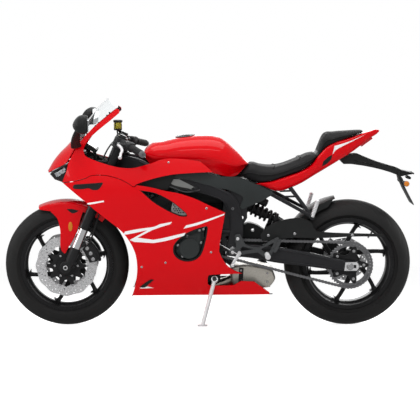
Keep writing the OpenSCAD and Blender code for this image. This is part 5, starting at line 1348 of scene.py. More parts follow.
board = cut_flat(runs([(-75, 0), (-75, 78)], [(-75, 78), (-66, 87)], [(-66, 87), (66, 87)],
                      [(66, 87), (75, 78)], [(75, 78), (75, 0)], [(75, 0), (64, -9)],
                      [(64, -9), (-64, -9)], [(-64, -9), (-75, 0)], step=12),
                 [ring_points(3.3, 16, (-55, 34)), ring_points(3.3, 16, (55, 34))])
board_up = np.array([-0.48, 0, 0.877])
board_out = np.array([0.877, 0, 0.48])
board_foot = np.array([1003, 0, 612])
put("plate_board",
    walled(board, lambda f: board_foot + f[:, :1] * [0, 1, 0] + f[:, 1:] * board_up,
           lambda f: board_foot - 3.5 * board_out + f[:, :1] * [0, 1, 0] + f[:, 1:] * board_up), "chassis",
    moulded_black, bevel=0.5)
put("hanger_stem",
    joined(swept(through([(934, 0, 766), (942, 0, 730), (958, 0, 694), (996, 0, 622)], 22),
                 rounded_ring(20, 4), np.linspace(34, 52, 22), np.linspace(9, 4, 22)),
           swept(np.linspace((974, 0, 738), (996, 0, 729), 6), rounded_ring(16, 4), 24,
                 [6, 8, 8, 8, 7, 5])), "chassis", moulded_black, bevel=0.6)
lens_amber = finish("lens_amber", (0.62, 0.2, 0.01), (0.5, 0.14, 0.006), 0.16, 0.06, 240, 0.2, 30.0,
                    Coat_Weight=0.7)
stalk = lathed((962, -40, 712), (0, -1, 0), [[0, 7.5], [12, 6.4], [30, 6], [44, 6.6], [46, 9]], 20)
body = lathed((962, -84, 712), (0, -1, 0), [[0, 6], [2, 10], [8, 12.4], [24, 13.6], [26, 13.8]], 32)
lens = lathed((962, -109, 712), (0, -1, 0), [[0, 13.2], [5, 12.6], [9, 10.4], [11, 6], [11.4, 1]], 32)
put("indicator_bodies", both(joined(stalk, body)), "chassis", moulded_black,
    ["rear_indicators"])
put("indicator_lenses", both(lens), "chassis", lens_amber)

# ---- Handlebars, levers and fluid pot ----
# Clip-on bars clamped under the upper yoke's level, each with a switch pod, a ribbed rubber grip and
# a bright end weight; forged levers on perches, and the front brake's fluid pot on a bracket.
grip_rubber = finish("grip_rubber", (0.008, 0.008, 0.008), (0.014, 0.014, 0.014), 0.56, 0.12, 1400, 0.4, 10.0)
BAR_START, BAR_RUN = np.array([-419.0, -104.5, 915.8]), np.array([112.0, -238, -45])
BAR_LENGTH = float(np.linalg.norm(BAR_RUN))
MIRROR_Y = np.array([1, -1, 1])


def bar_at(share):
    """Point on the left bar's middle line, a share of the way from its clamp to its end."""
    return BAR_START + share * BAR_RUN


clamp = lathed(leg_at(655, -1), UP_AXIS, [[0, 27.5], [0, 33], [1.5, 35], [27.5, 35], [29, 33], [29, 27.5]],
               44)
neck = swept(np.linspace(bar_at(0.1), bar_at(0.2), 5), rounded_ring(18, 2.6), [19, 18, 16, 14, 12],
             [16, 16, 15, 13, 12])
pod_share = np.linspace(0.295, 0.465, 14)
pod_size = np.array([16, 21, 22.5, 23, 23.5, 23, 21.5, 22.5, 23.5, 23.5, 23, 22, 20, 17])
pod = swept(bar_at(pod_share[:, None]), rounded_ring(24, 3.2), pod_size * 0.86, pod_size, (0, 0, 1))
put("clip_on_bars",
    both(joined(clamp, neck, lathed(bar_at(0.12), BAR_RUN, [[0, 11], [BAR_LENGTH * 0.78, 11]], 28), pod)),
    "steering", cast_black, ["handlebars"], bevel=0.8)
grip = [[0, 21.5], [2.4, 22.4], [4.5, 21], [6, 17.4]]
for k in range(11):
    grip += [[11 + 9.6 * k, 17.0], [12.4 + 9.6 * k, 16.1], [14 + 9.6 * k, 16.1], [15.4 + 9.6 * k, 17.0]]
grip += [[118, 17], [120, 15.5]]
put("bar_grips", both(lathed(bar_at(0.49), BAR_RUN, grip, 40)), "steering", grip_rubber)
weight = [[0, 10], [0.5, 14.6], [2, 15.2], [14, 15.2], [17.6, 14.2], [18.4, 11], [18.4, 3.6], [6, 3.4]]
buttons = []
for share, lift, reach in ((0.34, 12, 20), (0.38, 2, 21), (0.42, 13, 20), (0.4, -10, 19)):
    at = bar_at(share) + [reach * 0.85, reach * 0.4, lift]
    buttons.append(lathed(at - [3, 1.4, 0], (0.9, 0.42, 0), [[0, 6], [4, 6], [5.6, 4.6], [6, 1]], 14))
button_grey = finish("button_grey", (0.12, 0.12, 0.125), (0.09, 0.09, 0.092), 0.4, 0.1, 900, 0.1, 10.0)
put("bar_end_weights", both(lathed(bar_at(0.932), BAR_RUN, weight, 36)), "steering",
    button_grey)
put("bar_buttons", both(joined(*buttons)), "steering", button_grey)

LEVER_PIVOT = bar_at(0.36) + [-48, 0, 6]
LEVER_TIP = bar_at(0.93) + [-100, 4, -18]
perch = swept(np.linspace(bar_at(0.36) + [-14, 0, 3], LEVER_PIVOT - [6, 0, 0], 8), rounded_ring(18, 3),
              [15, 14, 12, 11, 11, 12, 12, 10], [9, 9, 8.6, 8.2, 8, 8, 8, 7])
blade_line = through([LEVER_PIVOT + [6, 10, 1], LEVER_PIVOT + [-1, -6, 0], LEVER_PIVOT + [12, -34, -10],
                      LEVER_PIVOT + [19, -66, -23], LEVER_PIVOT + [14, -100, -36], LEVER_TIP + [2, 5, 2]], 44)
t = np.linspace(0, 1, 44)
blade = swept(blade_line, rounded_ring(16, 3), 8.6 - 3 * t, 5.4 - 0.8 * t, (1, 0, 0))
ball = lathed(LEVER_TIP + [0, 7, 3], (0, -1, -0.3),
              [[0, 3], [1, 5.6], [3.5, 8], [8, 9], [12.5, 8], [15, 5.6], [16, 3]], 24)
bolt = lathed(LEVER_PIVOT + [0, 0, -10], (0, 0, 1), [[0, 4], [1, 5.4], [19, 5.4], [20, 4]], 16)
put("lever_blades", both(joined(blade, ball, bolt)), "steering", alloy, ["hand_levers"],
    bevel=0.3)
master = swept(np.linspace(LEVER_PIVOT + [8, 6, 4], LEVER_PIVOT + [14, 66, 12], 10), rounded_ring(20, 2.6),
               [9, 11, 12, 12, 12, 11, 11, 10, 9, 7], [9, 10, 11, 11, 11, 10, 10, 9, 8, 7], (1, 0, 0))
put("lever_perches", joined(both(perch), mirrored(master)), "steering", cast_black, bevel=0.5)

pot_fluid = finish("pot_fluid", (0.3, 0.26, 0.012), (0.24, 0.2, 0.01), 0.16, 0.06, 240, 0.05, 16.0,
                   Coat_Weight=0.7)
pot = np.array([-443.5, 115.0, 955.0])
put("fluid_pot",
    lathed(pot, (0, 0, 1),
           [[0, 15], [1, 18.4], [3, 19.4], [8, 19.6], [9, 20.4], [30, 20.4], [31, 19.6], [40, 19.6]], 44),
    "steering", pot_fluid, ["fluid_reservoir"])
cap_rows = lathed(pot, (0, 0, 1),
                  [[38.5, 20.6], [38.5, 21.8], [39.5, 22.8], [48, 22.8], [49.4, 21.6], [50, 18], [49, 17],
                   [49, 3]], 44)
band = lathed(pot, (0, 0, 1), [[-0.5, 14], [-0.5, 19.8], [8, 20.6], [8, 18]], 44)
straps = []
for a in (-2.2, -0.6, 1.6):
    rise = [pot + [r * math.cos(a), r * math.sin(a), z] for r, z in ((20, 6), (21, 22), (20.4, 40))]
    straps.append(swept(through(rise, 8), rounded_ring(10, 3), 2.6, 1.4))
bracket_end = bar_at(0.36) * MIRROR_Y + [0, 0, 6]
bracket = swept(through([pot + [4, 4, 2], pot + [14, 20, -14], pot + [40, 48, -40], bracket_end], 16),
                rounded_ring(12, 3.4), 8, 3.2, (1, 0, 0))
feed = piped([pot + [-4, 6, 0], pot + [-2, 22, -22], pot + [8, 58, -44], LEVER_PIVOT * MIRROR_Y
              + [10, -26, 12]], 3.6, 36, 10)
put("fluid_pot_cap", joined(cap_rows, band, bracket, feed, *straps), "steering", cast_black,
    bevel=0.3)

# ---- Front mudguard ----
# One moulding in red that hugs the tyre: a crowned top and deep flanks that reach down towards the
# axle, bolted to the fork legs, with a flat black patch of painted shade for a recess and an amber reflector
# each side.
crown_at = np.radians(np.linspace(51, 115, 40))
q = np.linspace(0, math.pi / 2, 9)
section_out = np.concatenate([[[-36, 74.5], [-26, 74.5]],
                              np.stack([-16 + 16 * np.sin(q), 60.5 + 14 * np.cos(q)], -1),
                              [[2.5, 48], [4.5, 32], [6, 16], [6.6, 0]]])
section_out = np.concatenate([section_out, section_out[-2::-1] * [1, -1]])
section_in = np.stack([section_out[:, 0] - 3, section_out[:, 1] * 0.96], -1)
loop = np.concatenate([section_out, section_in[::-1]])
rows = []
for a in crown_at:
    # Towards the front lip the flanks rise to the crown's edge
    end_share = np.clip((a - math.radians(104)) / math.radians(11), 0, 1) ** 1.4
    r = 315 + np.maximum(loop[:, 0], -36 + 26 * end_share)
    y = loop[:, 1] * (1 - 0.14 * end_share)
    rows.append(np.stack([FRONT_AXLE[0] + r * math.cos(a), y, FRONT_AXLE[2] + r * math.sin(a)], -1))
crown = channel(np.stack(rows))
skirt = runs([(-96, 292), (-82, 277), (-60, 255), (-46, 240), (-38, 226), (-31, 196), (-27, 165),
              (-28, 130), (-28, 100), (-22, 77), (-9, 62)], [(-9, 62), (-3, 64)],
             [(-3, 64), (12, 92), (32, 126), (48, 158), (62, 198), (72, 236), (82, 262), (92, 280),
              (100, 288)], [(100, 288), (60, 296), (10, 306), (-40, 303), (-80, 296)], step=6)
skirt = skirt + FRONT_AXLE[[0, 2]]
skirt_net = cut_flat(skirt, (), 12)


def skirt_at(out):
    """The flank bulges a little off flat: 1.9 mm times the root of the sine of its height's share."""
    def place(f):
        share = np.clip((f[:, 1] - FRONT_AXLE[2] - 60) / 230, 0, 1)
        return np.stack([f[:, 0], -(72.6 + 1.9 * np.sin(math.pi * share) ** 0.5 + out), f[:, 1]], -1)
    return place


put("mudguard", joined(crown, both(walled(skirt_net, skirt_at(1.0), skirt_at(-2.0)))), "steering",
    red_gloss, ["front_fender"], sharp=40, bevel=0.7)
reflector = lathed((-668, -75.6, 498), (0, -1, 0), [[0, 10], [2.4, 10], [3.4, 9], [3.6, 2]], 28)
put("mudguard_reflectors", both((reflector[0] * [1, 1, 2.3] - [0, 0, 498 * 1.3], reflector[1])),
    "steering", lens_amber)
# Painted shade: a flat black patch stood on the flank where the moulding has a shaded recess
recess = runs([(4, 281), (34, 280), (64, 272)], [(64, 272), (46, 262), (30, 259)],
              [(30, 259), (16, 270), (4, 281)], step=5) + FRONT_AXLE[[0, 2]]
put("mudguard_recess_shades", both(walled(cut_flat(recess, (), 12), skirt_at(1.5), skirt_at(-1.0))), "steering",
    moulded_black, bevel=0.3)
guard_bolts = [lathed(leg_at(s, -1) * [1, 0, 1] + [0, -75, 0], (0, -1, 0),
                      [[0, 6.4], [1.8, 6.4], [3, 5], [3, 2.6], [1.6, 2.4]], 16) for s in (135, 175)]
put("mudguard_bolts", both(joined(*guard_bolts)), "steering", steel_bright)

# ---- Mirrors ----
# Black mirrors on broad aerofoil arms that stand on the nose, with the glass to the rear.
head_ring = np.array([[27, 40], [8, 43], [-8, 39], [-22, 26], [-33, 8], [-37, -8], [-32, -24], [-20, -36],
                      [-4, -42], [14, -42], [25, -38], [29, -20], [30, 8], [29, 30]], float)
head_ring = through(np.concatenate([head_ring, head_ring[:1]]), 49)[:-1]
across_share = np.linspace(-1, 1, 23)
swell = (1 - np.abs(across_share) ** 4.5) ** 0.5 * 0.96 + 0.04
mirror_head = np.array([-596.0, -322, 1012])
turn_c, turn_s = math.cos(math.radians(10)), math.sin(math.radians(10))


def on_mirror(points):
    """Points of the mirror head turned 10 degrees about the upright and moved to their place."""
    x, y, z = points[..., 0], points[..., 1], points[..., 2]
    return np.stack([x * turn_c - y * turn_s, x * turn_s + y * turn_c, z], -1) + mirror_head


shell = np.stack([np.stack([np.minimum(head_ring[:, 0] * s + 2 * (1 - s), 28), np.full(48, -3 + 59.0 * v),
                            head_ring[:, 1] * s * (1 - 0.1 * v)], -1) for v,
                  s in zip(across_share, swell)])
arm = swept(through([(-632, -136, 893), (-634, -160, 908), (-630, -204, 934), (-620, -246, 962),
                     (-606, -280, 990)], 26), rounded_ring(24, 2.2), np.linspace(26, 15, 26),
            np.linspace(11, 7.5, 26), (1, 0, 0.25))
put("mirror_shells", both(joined(capped(on_mirror(shell)), arm)), "chassis",
    moulded_black, ["mirrors"], sharp=60, bevel=0.6)
glass = np.stack([np.stack([np.full(48, x), 52.0 * head_ring[:, 0] / 36, head_ring[:, 1] * 0.88], -1)
                  for x in (26.0, 29.4)])
glass[..., 1] = np.clip(glass[..., 1] * 1.5, -54, 50)
mirror_glass = finish("mirror_glass", (0.75, 0.77, 0.78), (0.7, 0.72, 0.73), 0.04, 0.02, 300, 0.0, 2.0,
                      Metallic=1.0)
put("mirror_glasses", both(capped(on_mirror(glass))), "chassis", mirror_glass)

# ---- Instruments and cockpit ----
# A flat colour display in a black case on the front stay, and black trim that lines the cockpit.
slab = np.array([-578.0, 0, 888])
slab_along, slab_up = np.array([0.848, 0, -0.53]), np.array([0.53, 0, 0.848])
rows = slab + np.linspace(-85, 85, 17)[:, None] * [0, 1, 0]
case_wide = 47.5 * (1 - 0.12 * np.abs(np.linspace(-1, 1, 17)) ** 4)
put("display_case", swept(rows, rounded_ring(28, 6), case_wide, 10, slab_along), "chassis",
    moulded_black, ["dashboard"], bevel=0.6)
display_glass = finish("display_glass", (0.004, 0.005, 0.007), (0.006, 0.007, 0.01), 0.06, 0.02, 300, 0.0,
                       3.0, Coat_Weight=0.5)
put("display_face", swept(rows[2:-2] + slab_up * 9.6, rounded_ring(28, 6), 36, 1.2, slab_along), "chassis",
    display_glass)
painted("front_stay", cast_black)
painted("cockpit_trim", moulded_black)
liner = [(-582, 840), (-560, 856), (-548, 838), (-516, 812), (-445, 792), (-392, 786), (-349, 788),
         (-300, 798), (-268, 810), (-238, 824)]
inner_wall = through(liner, 60)
wall_y = np.minimum(flank(inner_wall[:, 0], inner_wall[:, 1]) - 15, 152)
deep = np.clip(1 - (inner_wall[:, 0] + 582) / 344, 0.4, 1) * 44
front_top = np.stack([inner_wall[:, 0], -wall_y, inner_wall[:, 1] - 8], -1)
wall = np.stack([front_top, front_top - np.stack([0 * deep, 0 * deep, deep], -1),
                 front_top - np.stack([0 * deep, -2.5 + 0 * deep, deep], -1), front_top + [0, 2.5, 0]], 1)
put("cockpit_liners", both(capped(wall)), "chassis", moulded_black)

# ---- Frame and subframe ----
# Cast aluminium twin-spar frame, painted satin black, with ribbed pockets in its spars, pivot plates
# with round bosses, cross tubes and the stand's bracket; the rear subframe's rails run under the seats.
frame_satin = finish("frame_satin", (0.012, 0.012, 0.0135), (0.019, 0.019, 0.021), 0.36, 0.12, 1300, 0.25,
                     8.0)
cover_grey = finish("cover_grey", (0.02, 0.0235, 0.0235), (0.029, 0.033, 0.033), 0.42, 0.1, 1500, 0.3, 7.0)


def bar(a, b, radius, chamfer=1.2, sides=24):
    """A round bar between two points with rounded rims."""
    a, b = np.asarray(a, float), np.asarray(b, float)
    return lathed(a, b - a, rounded_end(np.linalg.norm(b - a), radius, min(chamfer, radius * 0.4)), sides)


def crossbar(x, z, y0, y1, radius, sides=28):
    """A round bar straight across the machine."""
    return bar((x, y0, z), (x, y1, z), radius, sides=sides)


def beam(path, count, power=6.0, ring_count=28):
    """A box beam with rounded corners along rows of x, y, z, height and thickness; the height lies
    in the plane of x and z, square to the path."""
    p = through(np.asarray(path, float), count)
    return swept(p[:, :3], rounded_ring(ring_count, power), p[:, 4] / 2, p[:, 3] / 2, (0, 1, 0))


spar_path = [[-441, -40, 798, 108, 30], [-330, -96, 785, 84, 26], [-193, -158, 728, 56, 26],
             [-60, -158, 702, 50, 26], [20, -158, 682, 50, 26], [95, -158, 645, 54, 26],
             [126, -151, 590, 58, 18], [137, -150.5, 500, 64, 16], [122, -150.5, 364, 74, 16]]
frame_parts = [both(beam(spar_path, 90)),
               lathed(STEER_FOOT + 474 * UP_AXIS, UP_AXIS, rounded_end(152, 32, 3), 48)]
for x, z in ((-170, 736), (70, 668)):
    frame_parts += [crossbar(x, z, -150, 150, 12), both(bar((x, -80, z), (x, -80, 798), 8))]
frame_parts += [crossbar(140, 560, -146, 146, 14), bar((140, 0, 560), (158, 0, 608), 12),
                both(bar((-150, -158, 712), (-150, -158, 634), 12)),
                both(bar((-150, -156, 640), (-150, -118, 640), 9)),
                both(bar((60, -146, 484), (60, -62, 484), 9)),
                both(bar((60, -150, 484), (110, -150, 484), 8)),
                both(bar((100, -106, 688), (100, -156, 651), 9)),
                both(bar((-60, -162, 700), (-60, -226, 700), 7)),
                both(bar((-300, -112, 770), (-300, -212, 770), 7)),
                both(crossbar(120, 398, -161, -150, 27, 44))]
put("frame_casting", joined(*frame_parts), "chassis", frame_satin, ["frame"], sharp=36)

web_net = cut_flat(runs([(76, 640), (112, 688), (162, 682)], [(162, 682), (184, 620), (189, 551)],
                        [(189, 551), (170, 518), (154, 484)], [(154, 484), (154, 440), (150, 400)],
                        [(150, 400), (112, 380), (72, 392)], [(72, 392), (66, 470), (70, 560), (76, 640)]),
                   [ring_points(9, 24, (162, 551)), ring_points(11, 24, (94, 452))])
put("frame_webs", both(upright_plate(web_net, -147, -139)), "chassis", frame_satin, bevel=1.6)


def from_frame(node, keep):
    """The triangles of a CAD node, in the upright frame's millimetres, whose corners keep returns
    true for: the parked points turned back by the lean."""
    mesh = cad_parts[node].data
    co = np.zeros(len(mesh.vertices) * 3, np.float32)
    mesh.vertices.foreach_get("co", co)
    p = co.reshape(-1, 3).astype(float) * 1000
    c, s = math.cos(LEAN), math.sin(LEAN)
    y, z = p[:, 1] - PARK_SHIFT, p[:, 2] - TYRE_CROWN * (1 - c)
    p = np.stack([p[:, 0], y * c + z * s, -y * s + z * c], -1)
    tris = np.array([list(q.vertices) for q in mesh.polygons])
    tris = tris[keep(p[tris].reshape(-1, 3)).reshape(-1, 3).all(1)]
    used, back = np.unique(tris, return_inverse=True)
    return p[used], back.reshape(-1, 3).tolist()


put("stand_bracket",
    from_frame("frame",
               lambda p: (p[:, 1] > -185) & (p[:, 1] < -90) & (p[:, 2] < 352) & (p[:, 0] < 104) & (p[:,
                       0] > -40)), "chassis", frame_satin, sharp=40)


def spar_face(f):
    """The spar's outer side: it turns in to the steering head ahead of the middle of the machine."""
    line = through(np.asarray(spar_path, float), 90)[:70]
    y = np.where(f[:, 0] < 60, np.interp(f[:, 0], line[:, 0], -line[:, 1]),
                 np.interp(f[:, 0], [60, 95, 124, 160], [158.5, 158, 151, 150.5]))
    thick = np.interp(f[:, 0], [-441, -193, 95, 124], [15, 13, 13, 8.5])
    return np.stack([f[:, 0], -y - thick, f[:, 1]], -1)


def strip(points, wide, power=3.0):
    """A raised rib on the spar along points of x, z."""
    line = through(np.asarray(points, float), 36)
    return swept(spar_face(line), rounded_ring(12, power), 2.6, wide, (0, 1, 0))


top_rib = strip([(-330, 818), (-262, 790), (-193, 753), (-60, 724), (20, 704), (88, 671), (118, 648),
                 (142, 604), (160, 545)], 3.2)
low_rib = strip([(-330, 748), (-262, 730), (-193, 704), (-60, 680), (16, 660), (66, 638), (92, 600),
                 (108, 540)], 2.6)
# Painted highlight: a lighter grey rib along the rim of the spar's pocket, where light catches the cast edge
# of the black frame
rim_highlight_grey = finish("rim_highlight_grey", (0.07, 0.072, 0.074), (0.1, 0.102, 0.105), 0.4, 0.12, 1300, 0.25, 8.0)
rim_highlight_rib = strip([(-222, 742), (-199, 712), (-160, 696), (-104, 678), (-40, 688)], 3.0)
put("frame_ribs", both(joined(top_rib, low_rib)), "chassis", frame_satin, sharp=50)
put("frame_rim_highlights", both(rim_highlight_rib), "chassis", rim_highlight_grey, sharp=50)
pocket = runs([(-188, 744), (-140, 743)], [(-140, 743), (-62, 704)], [(-62, 704), (-82, 690)],
              [(-82, 690), (-172, 712)], step=8)


def stood_out(out):
    """The spar's outer side moved out by out mm."""
    return lambda f: spar_face(f) - [0, out, 0]


put("frame_pockets", both(walled(cut_flat(moved_in(pocket, -4), (), 14), stood_out(1.0), stood_out(-1.0))),
    "chassis", hose_rubber, bevel=0.4)
put("frame_pocket_plates",
    both(walled(cut_flat(moved_in(pocket, 3), (), 14), stood_out(2.2), stood_out(0))), "chassis",
    mesh_grey, bevel=0.5)
boss_bolts = [lathed((x, -y, z), (0, -1, 0), [[0, r], [4, r], [5, r - 1], [5, r * 0.45], [2, r * 0.4]], 20)
              for x, y, z,
              r in ((120, 160, 398, 15), (118, 158, 596, 7), (60, 158, 668, 7), (-150, 171, 655, 7))]
put("frame_bolts", both(joined(*boss_bolts)), "chassis", drive_steel)
put("airbox",
    swept(np.array([[-330, 0, 702], [-290, 0, 704], [-220, 0, 700], [-100, 0, 690], [0, 0, 678],
                    [70, 0, 668]], float), rounded_ring(32, 4), [66, 84, 100, 112, 112, 104],
          [34, 50, 62, 72, 76, 68], (0, 1, 0)), "chassis", moulded_black, bevel=1.0)
panel_z = np.linspace(236, 684, 40)
panel_out = flank(np.full(40, -285.0), panel_z) - 15
panel_in = np.minimum(118, panel_out - 8)
put("inner_panels",
    both(capped(np.stack([np.stack([np.full(40, x), -y, panel_z], -1) for x,
                          y in ((-288, panel_out), (-288, panel_in), (-285, panel_in), (-285, panel_out))],
                         1))), "chassis", moulded_black)
put("seat_tray",
    swept(np.array([[64, 0, 720], [120, 0, 720], [180, 0, 718], [236, 0, 714]], float),
          rounded_ring(24, 6), [128, 136, 132, 104], 3.5, (0, 1, 0)), "chassis",
    moulded_black, bevel=0.6)
rail_path = [[84, -104, 690, 30, 20], [200, -104, 694, 30, 20], [320, -100, 700, 28, 20],
             [450, -88, 738, 26, 18], [560, -74, 800, 24, 16], [662, -60, 863, 22, 14]]
put("subframe_rails",
    joined(both(beam(rail_path, 60, 5)), crossbar(330, 702, -100, 100, 9), crossbar(600, 824, -70, 70, 8)),
    "chassis", frame_satin, ["subframe"])

# ---- Side covers ----
# Satin grey mouldings under the tank that hide the frame's corner and sweep back below the seat.
cover_net = cut_flat(runs([(-208, 752), (-170, 762), (-135, 766), (-90, 773), (-39, 775), (14, 764),
                           (67, 752), (110, 750), (153, 747), (190, 731), (230, 713), (270, 695),
                           (302, 680)], [(302, 680), (316, 671), (308, 661)],
                          [(308, 661), (259, 632), (201, 607), (172, 594)],
                          [(172, 594), (160, 594), (153, 604)],
                          [(153, 604), (164, 632), (168, 648), (158, 660)],
                          [(158, 660), (96, 688), (19, 701), (-40, 722), (-90, 736), (-150, 744)]), (), 14)


def cover_face(out):
    """A shallow crown: it stands out by 9 mm times a bell over the height, on a base that draws in
    towards the tail."""
    def place(f):
        bell = np.exp(-((f[:, 1] - 700 + 0.12 * f[:, 0]) / 58) ** 2)
        reach = np.interp(f[:, 0], [-208, -150, 60, 180, 320], [172, 176, 165, 152, 134])
        return np.stack([f[:, 0], -(reach - 4 + 9 * bell + out), f[:, 1]], -1)
    return place


put("side_cover_mouldings", both(walled(cover_net, cover_face(0), cover_face(-3.5))), "chassis",
    cover_grey, ["side_covers"], bevel=0.8)

# ---- Engine and covers ----
# A water-cooled block with cast detail; graphite clutch and alternator covers with a round boss,
# held by bright bolts, show through the fairings' windows.
engine_dark = finish("engine_dark", (0.018, 0.018, 0.019), (0.03, 0.03, 0.032), 0.42, 0.16, 900, 0.35,
                     11.0, Metallic=0.35)
painted("engine", engine_dark)
rim_line = moved_in(window_hole, 13)
cover_body = cut_flat(rim_line, (), 12)


def domed(y_edge, y_crown, inset):
    """The cover's face: from its edge it rises over inset mm, as the square root of the share."""
    def place(f):
        gap = np.sqrt(np.array([np.min(((rim_line - q) ** 2).sum(1)) for q in f]))
        rise = np.clip(gap / inset, 0, 1) ** 0.5
        return np.stack([f[:, 0], -(y_edge + (y_crown - y_edge) * rise), f[:, 1]], -1)
    return place


boss = lathed((-90, -170, 405), (0, -1, 0),
              [[0, 52], [7, 50], [9.5, 47.5], [9.5, 40], [8.3, 38.5], [8.3, 4]], 72)
arc = ring_points(61, 60, (-90, 405))[9:22]
arcs = swept(np.stack([arc[:, 0], np.full(13, -175.5), arc[:, 1]], -1), rounded_ring(10, 3), 1.6, 2.6,
             (0, 1, 0))
tip_arc = through([(-52, 484), (-34, 486), (-22, 470), (-24, 448)], 16)
arcs2 = swept(np.stack([tip_arc[:, 0], np.full(16, -174.5), tip_arc[:, 1]], -1), rounded_ring(10, 3), 1.6,
              2.2, (0, 1, 0))
put("clutch_covers",
    both(joined(walled(cover_body, domed(163, 174, 16),
                       lambda f: np.stack([f[:, 0], np.full(len(f), -150.0), f[:, 1]], -1)), boss, arcs,
                arcs2)), "chassis", cover_grey, ["engine_covers"], bevel=0.5)
ring_at = moved_in(window_hole, 19)
gaps = np.linalg.norm(np.diff(ring_at, axis=0, append=ring_at[:1]), axis=1)
walk = np.concatenate([[0], np.cumsum(gaps)])
cover_bolts = []
for k in range(9):
    s = (k + 0.3) / 9 * walk[-1]
    i = min(int(np.searchsorted(walk, s)) - 1, len(ring_at) - 1)
    cover_bolts.append(lathed((ring_at[i, 0], -169, ring_at[i, 1]), (0, -1, 0),
                              [[0, 6.4], [2, 6.4], [2.4, 4.8], [7, 4.8], [7.8, 3.8], [7.8, 2.4], [5, 2.2]],
                              14))
put("clutch_cover_bolts", both(joined(*cover_bolts)), "chassis", steel_bright)
sprocket_cover = cut_flat(runs([(-24, 362), (-14, 352)], [(-14, 352), (58, 354)],
                               [(58, 354), (70, 372), (71, 404), (66, 436)], [(66, 436), (52, 452)],
                               [(52, 452), (-12, 452)], [(-12, 452), (-24, 440)], step=9))
sprocket_bolts = [lathed((x, -134, z), (0, -1, 0), [[0, 5], [5, 5], [6, 4], [6, 2.2], [3, 2]], 12)
                  for x, z in ((-14, 364), (-14, 440), (58, 366), (58, 438))]
put("sprocket_cover", joined(upright_plate(sprocket_cover, -134, -105),
    lathed((24, -133, 403), (0, -1, 0), [[0, 30], [3, 28], [4, 24], [3, 22], [3, 2]], 40)),
    "chassis", engine_dark, bevel=2.0)
put("sprocket_cover_bolts", joined(*sprocket_bolts), "chassis", steel_bright)
hoses = [both(piped([(-300, -96, 590), (-262, -112, 640), (-200, -118, 664), (-150, -112, 650)], 11, 30, 14)),
         piped([(-290, -100, 400), (-262, -122, 372), (-226, -124, 350), (-200, -112, 340)], 12, 30, 14),
         piped([(84, -60, 500), (104, -96, 470), (96, -120, 420), (70, -122, 392)], 6, 30, 10)]
put("coolant_hoses", joined(*hoses), "chassis", hose_rubber)
fins = []
for k in range(7):
    foot = np.array([-190.0, 0, 478]) + k * 22 * np.array([-0.407, 0, 0.914])
    fins.append(both(bar(foot + [0, -139, 0], foot + [128, -139, 57], 3.2, sides=10)))
head_bolts = [bar((-176 + 36 * k, -142, 600 + 16 * k - 60), (-176 + 36 * k, -149, 600 + 16 * k - 60), 7,
                  sides=6) for k in range(3)]
sump = [bar((-190 + 44 * k, -112, 240), (-190 + 44 * k, -124, 240), 5, sides=6) for k in range(6)]
put("engine_castings",
    joined(*fins, both(joined(*head_bolts, *sump)),
           both(lathed((18, -100, 470), (0, -1, 0), [[0, 26], [6, 26], [9, 22], [9, 4]], 36))), "chassis",
    engine_dark)

# ---- Radiator and exhaust ----
# A curved-front radiator of flat tubes behind the wheel, four header pipes that gather under the
# sump, and a brushed titanium silencer low behind the belly with a black end plate.
core_black = finish("radiator_core", (0.02, 0.02, 0.021), (0.04, 0.04, 0.042), 0.5, 0.2, 900, 0.3, 20.0,
                    Metallic=0.3)
painted("radiator", core_black)
slats = []
for k in range(22):
    z = 384 + k * 9.6
    x = -328 - (z - 370) * math.tan(math.radians(8)) - 0.6
    slats.append(swept([(x, -128, z), (x, 0, z), (x, 128, z)], rounded_ring(8, 4), 2.4, 1.5, (1, 0, 0.1)))
tanks = [bar((-332, s * 134, 378), (-358, s * 134, 588), 7.5) for s in (-1, 1)]
put("radiator_tubes", joined(*slats, *tanks), "chassis", drive_steel)
pipe_steel = finish("pipe_steel", (0.6, 0.54, 0.46), (0.42, 0.34, 0.29), 0.3, 0.16, 700, 0.1, 7.0,
                    Metallic=1.0)
titanium = finish("brushed_titanium", (0.62, 0.59, 0.53), (0.5, 0.475, 0.42), 0.3, 0.14, 260, 0.16, 6.0,
                  7.0, Metallic=0.7)
pipes = []
for y in (-102, -34, 34, 102):
    pipes.append(piped([(-222, y, 562), (-254, y, 548), (-274, y, 524), (-279, y * 0.95, 490),
                        (-276, y * 0.9, 400), (-266, y * 0.8, 300), (-240, y * 0.7, 236),
                        (-200, y * 0.6, 206), (-100, y * 0.5, 198), (20, y * 0.45, 200)], 16, 70, 20))
    pipes.append(lathed((-256, y, 547), (0.9, 0, 0.4), [[0, 20], [2, 24], [10, 24], [12, 20]], 24))
collector = swept(through([(8, 0, 201), (60, 0, 203), (100, 0, 212), (150, 0, 235)], 20),
                  rounded_ring(28, 2.6),
                  [60, 60, 58, 56, 53, 50, 47, 44, 41, 38, 35, 33, 31, 29, 28, 27, 26, 26, 26, 26],
                  [20, 21, 22, 22, 23, 23, 24, 24, 25, 25, 26, 26, 26, 26, 26, 26, 26, 26, 26, 26])
put("header_pipes", joined(*pipes, collector), "chassis", pipe_steel, ["exhaust_headers"])
can = through([(116, 296), (140, 303), (180, 307), (216, 306), (252, 302), (288, 295), (316, 285),
               (328, 262), (333, 238), (320, 214), (302, 196), (280, 194), (256, 200), (218, 203),
               (180, 205), (146, 207), (120, 212), (112, 250), (116, 296)], 73)[:-1]
can_mid = np.array([222.0, 250])
rows = []
for y, share in ((-74, 0.80), (-73.4, 0.87), (-71, 0.925), (-66, 0.965), (-58, 0.99), (-48, 1), (0, 1),
                 (74, 1), (86, 0.985), (94, 0.95), (99, 0.88), (100, 0.8)):
    flat = can_mid + (can - can_mid) * share
    rows.append(np.stack([flat[:, 0], np.full(len(flat), float(y)), flat[:, 1]], -1))
put("silencer_can", capped(np.stack(rows)), "chassis", titanium, ["muffler"], sharp=50)
outlet = lathed((258, 90, 262), (22, 46, 22),
                [[0, 20], [0, 28], [46, 28], [54, 27.4], [55, 26], [54, 23.5], [10, 23], [8, 4]], 36)
seam = []
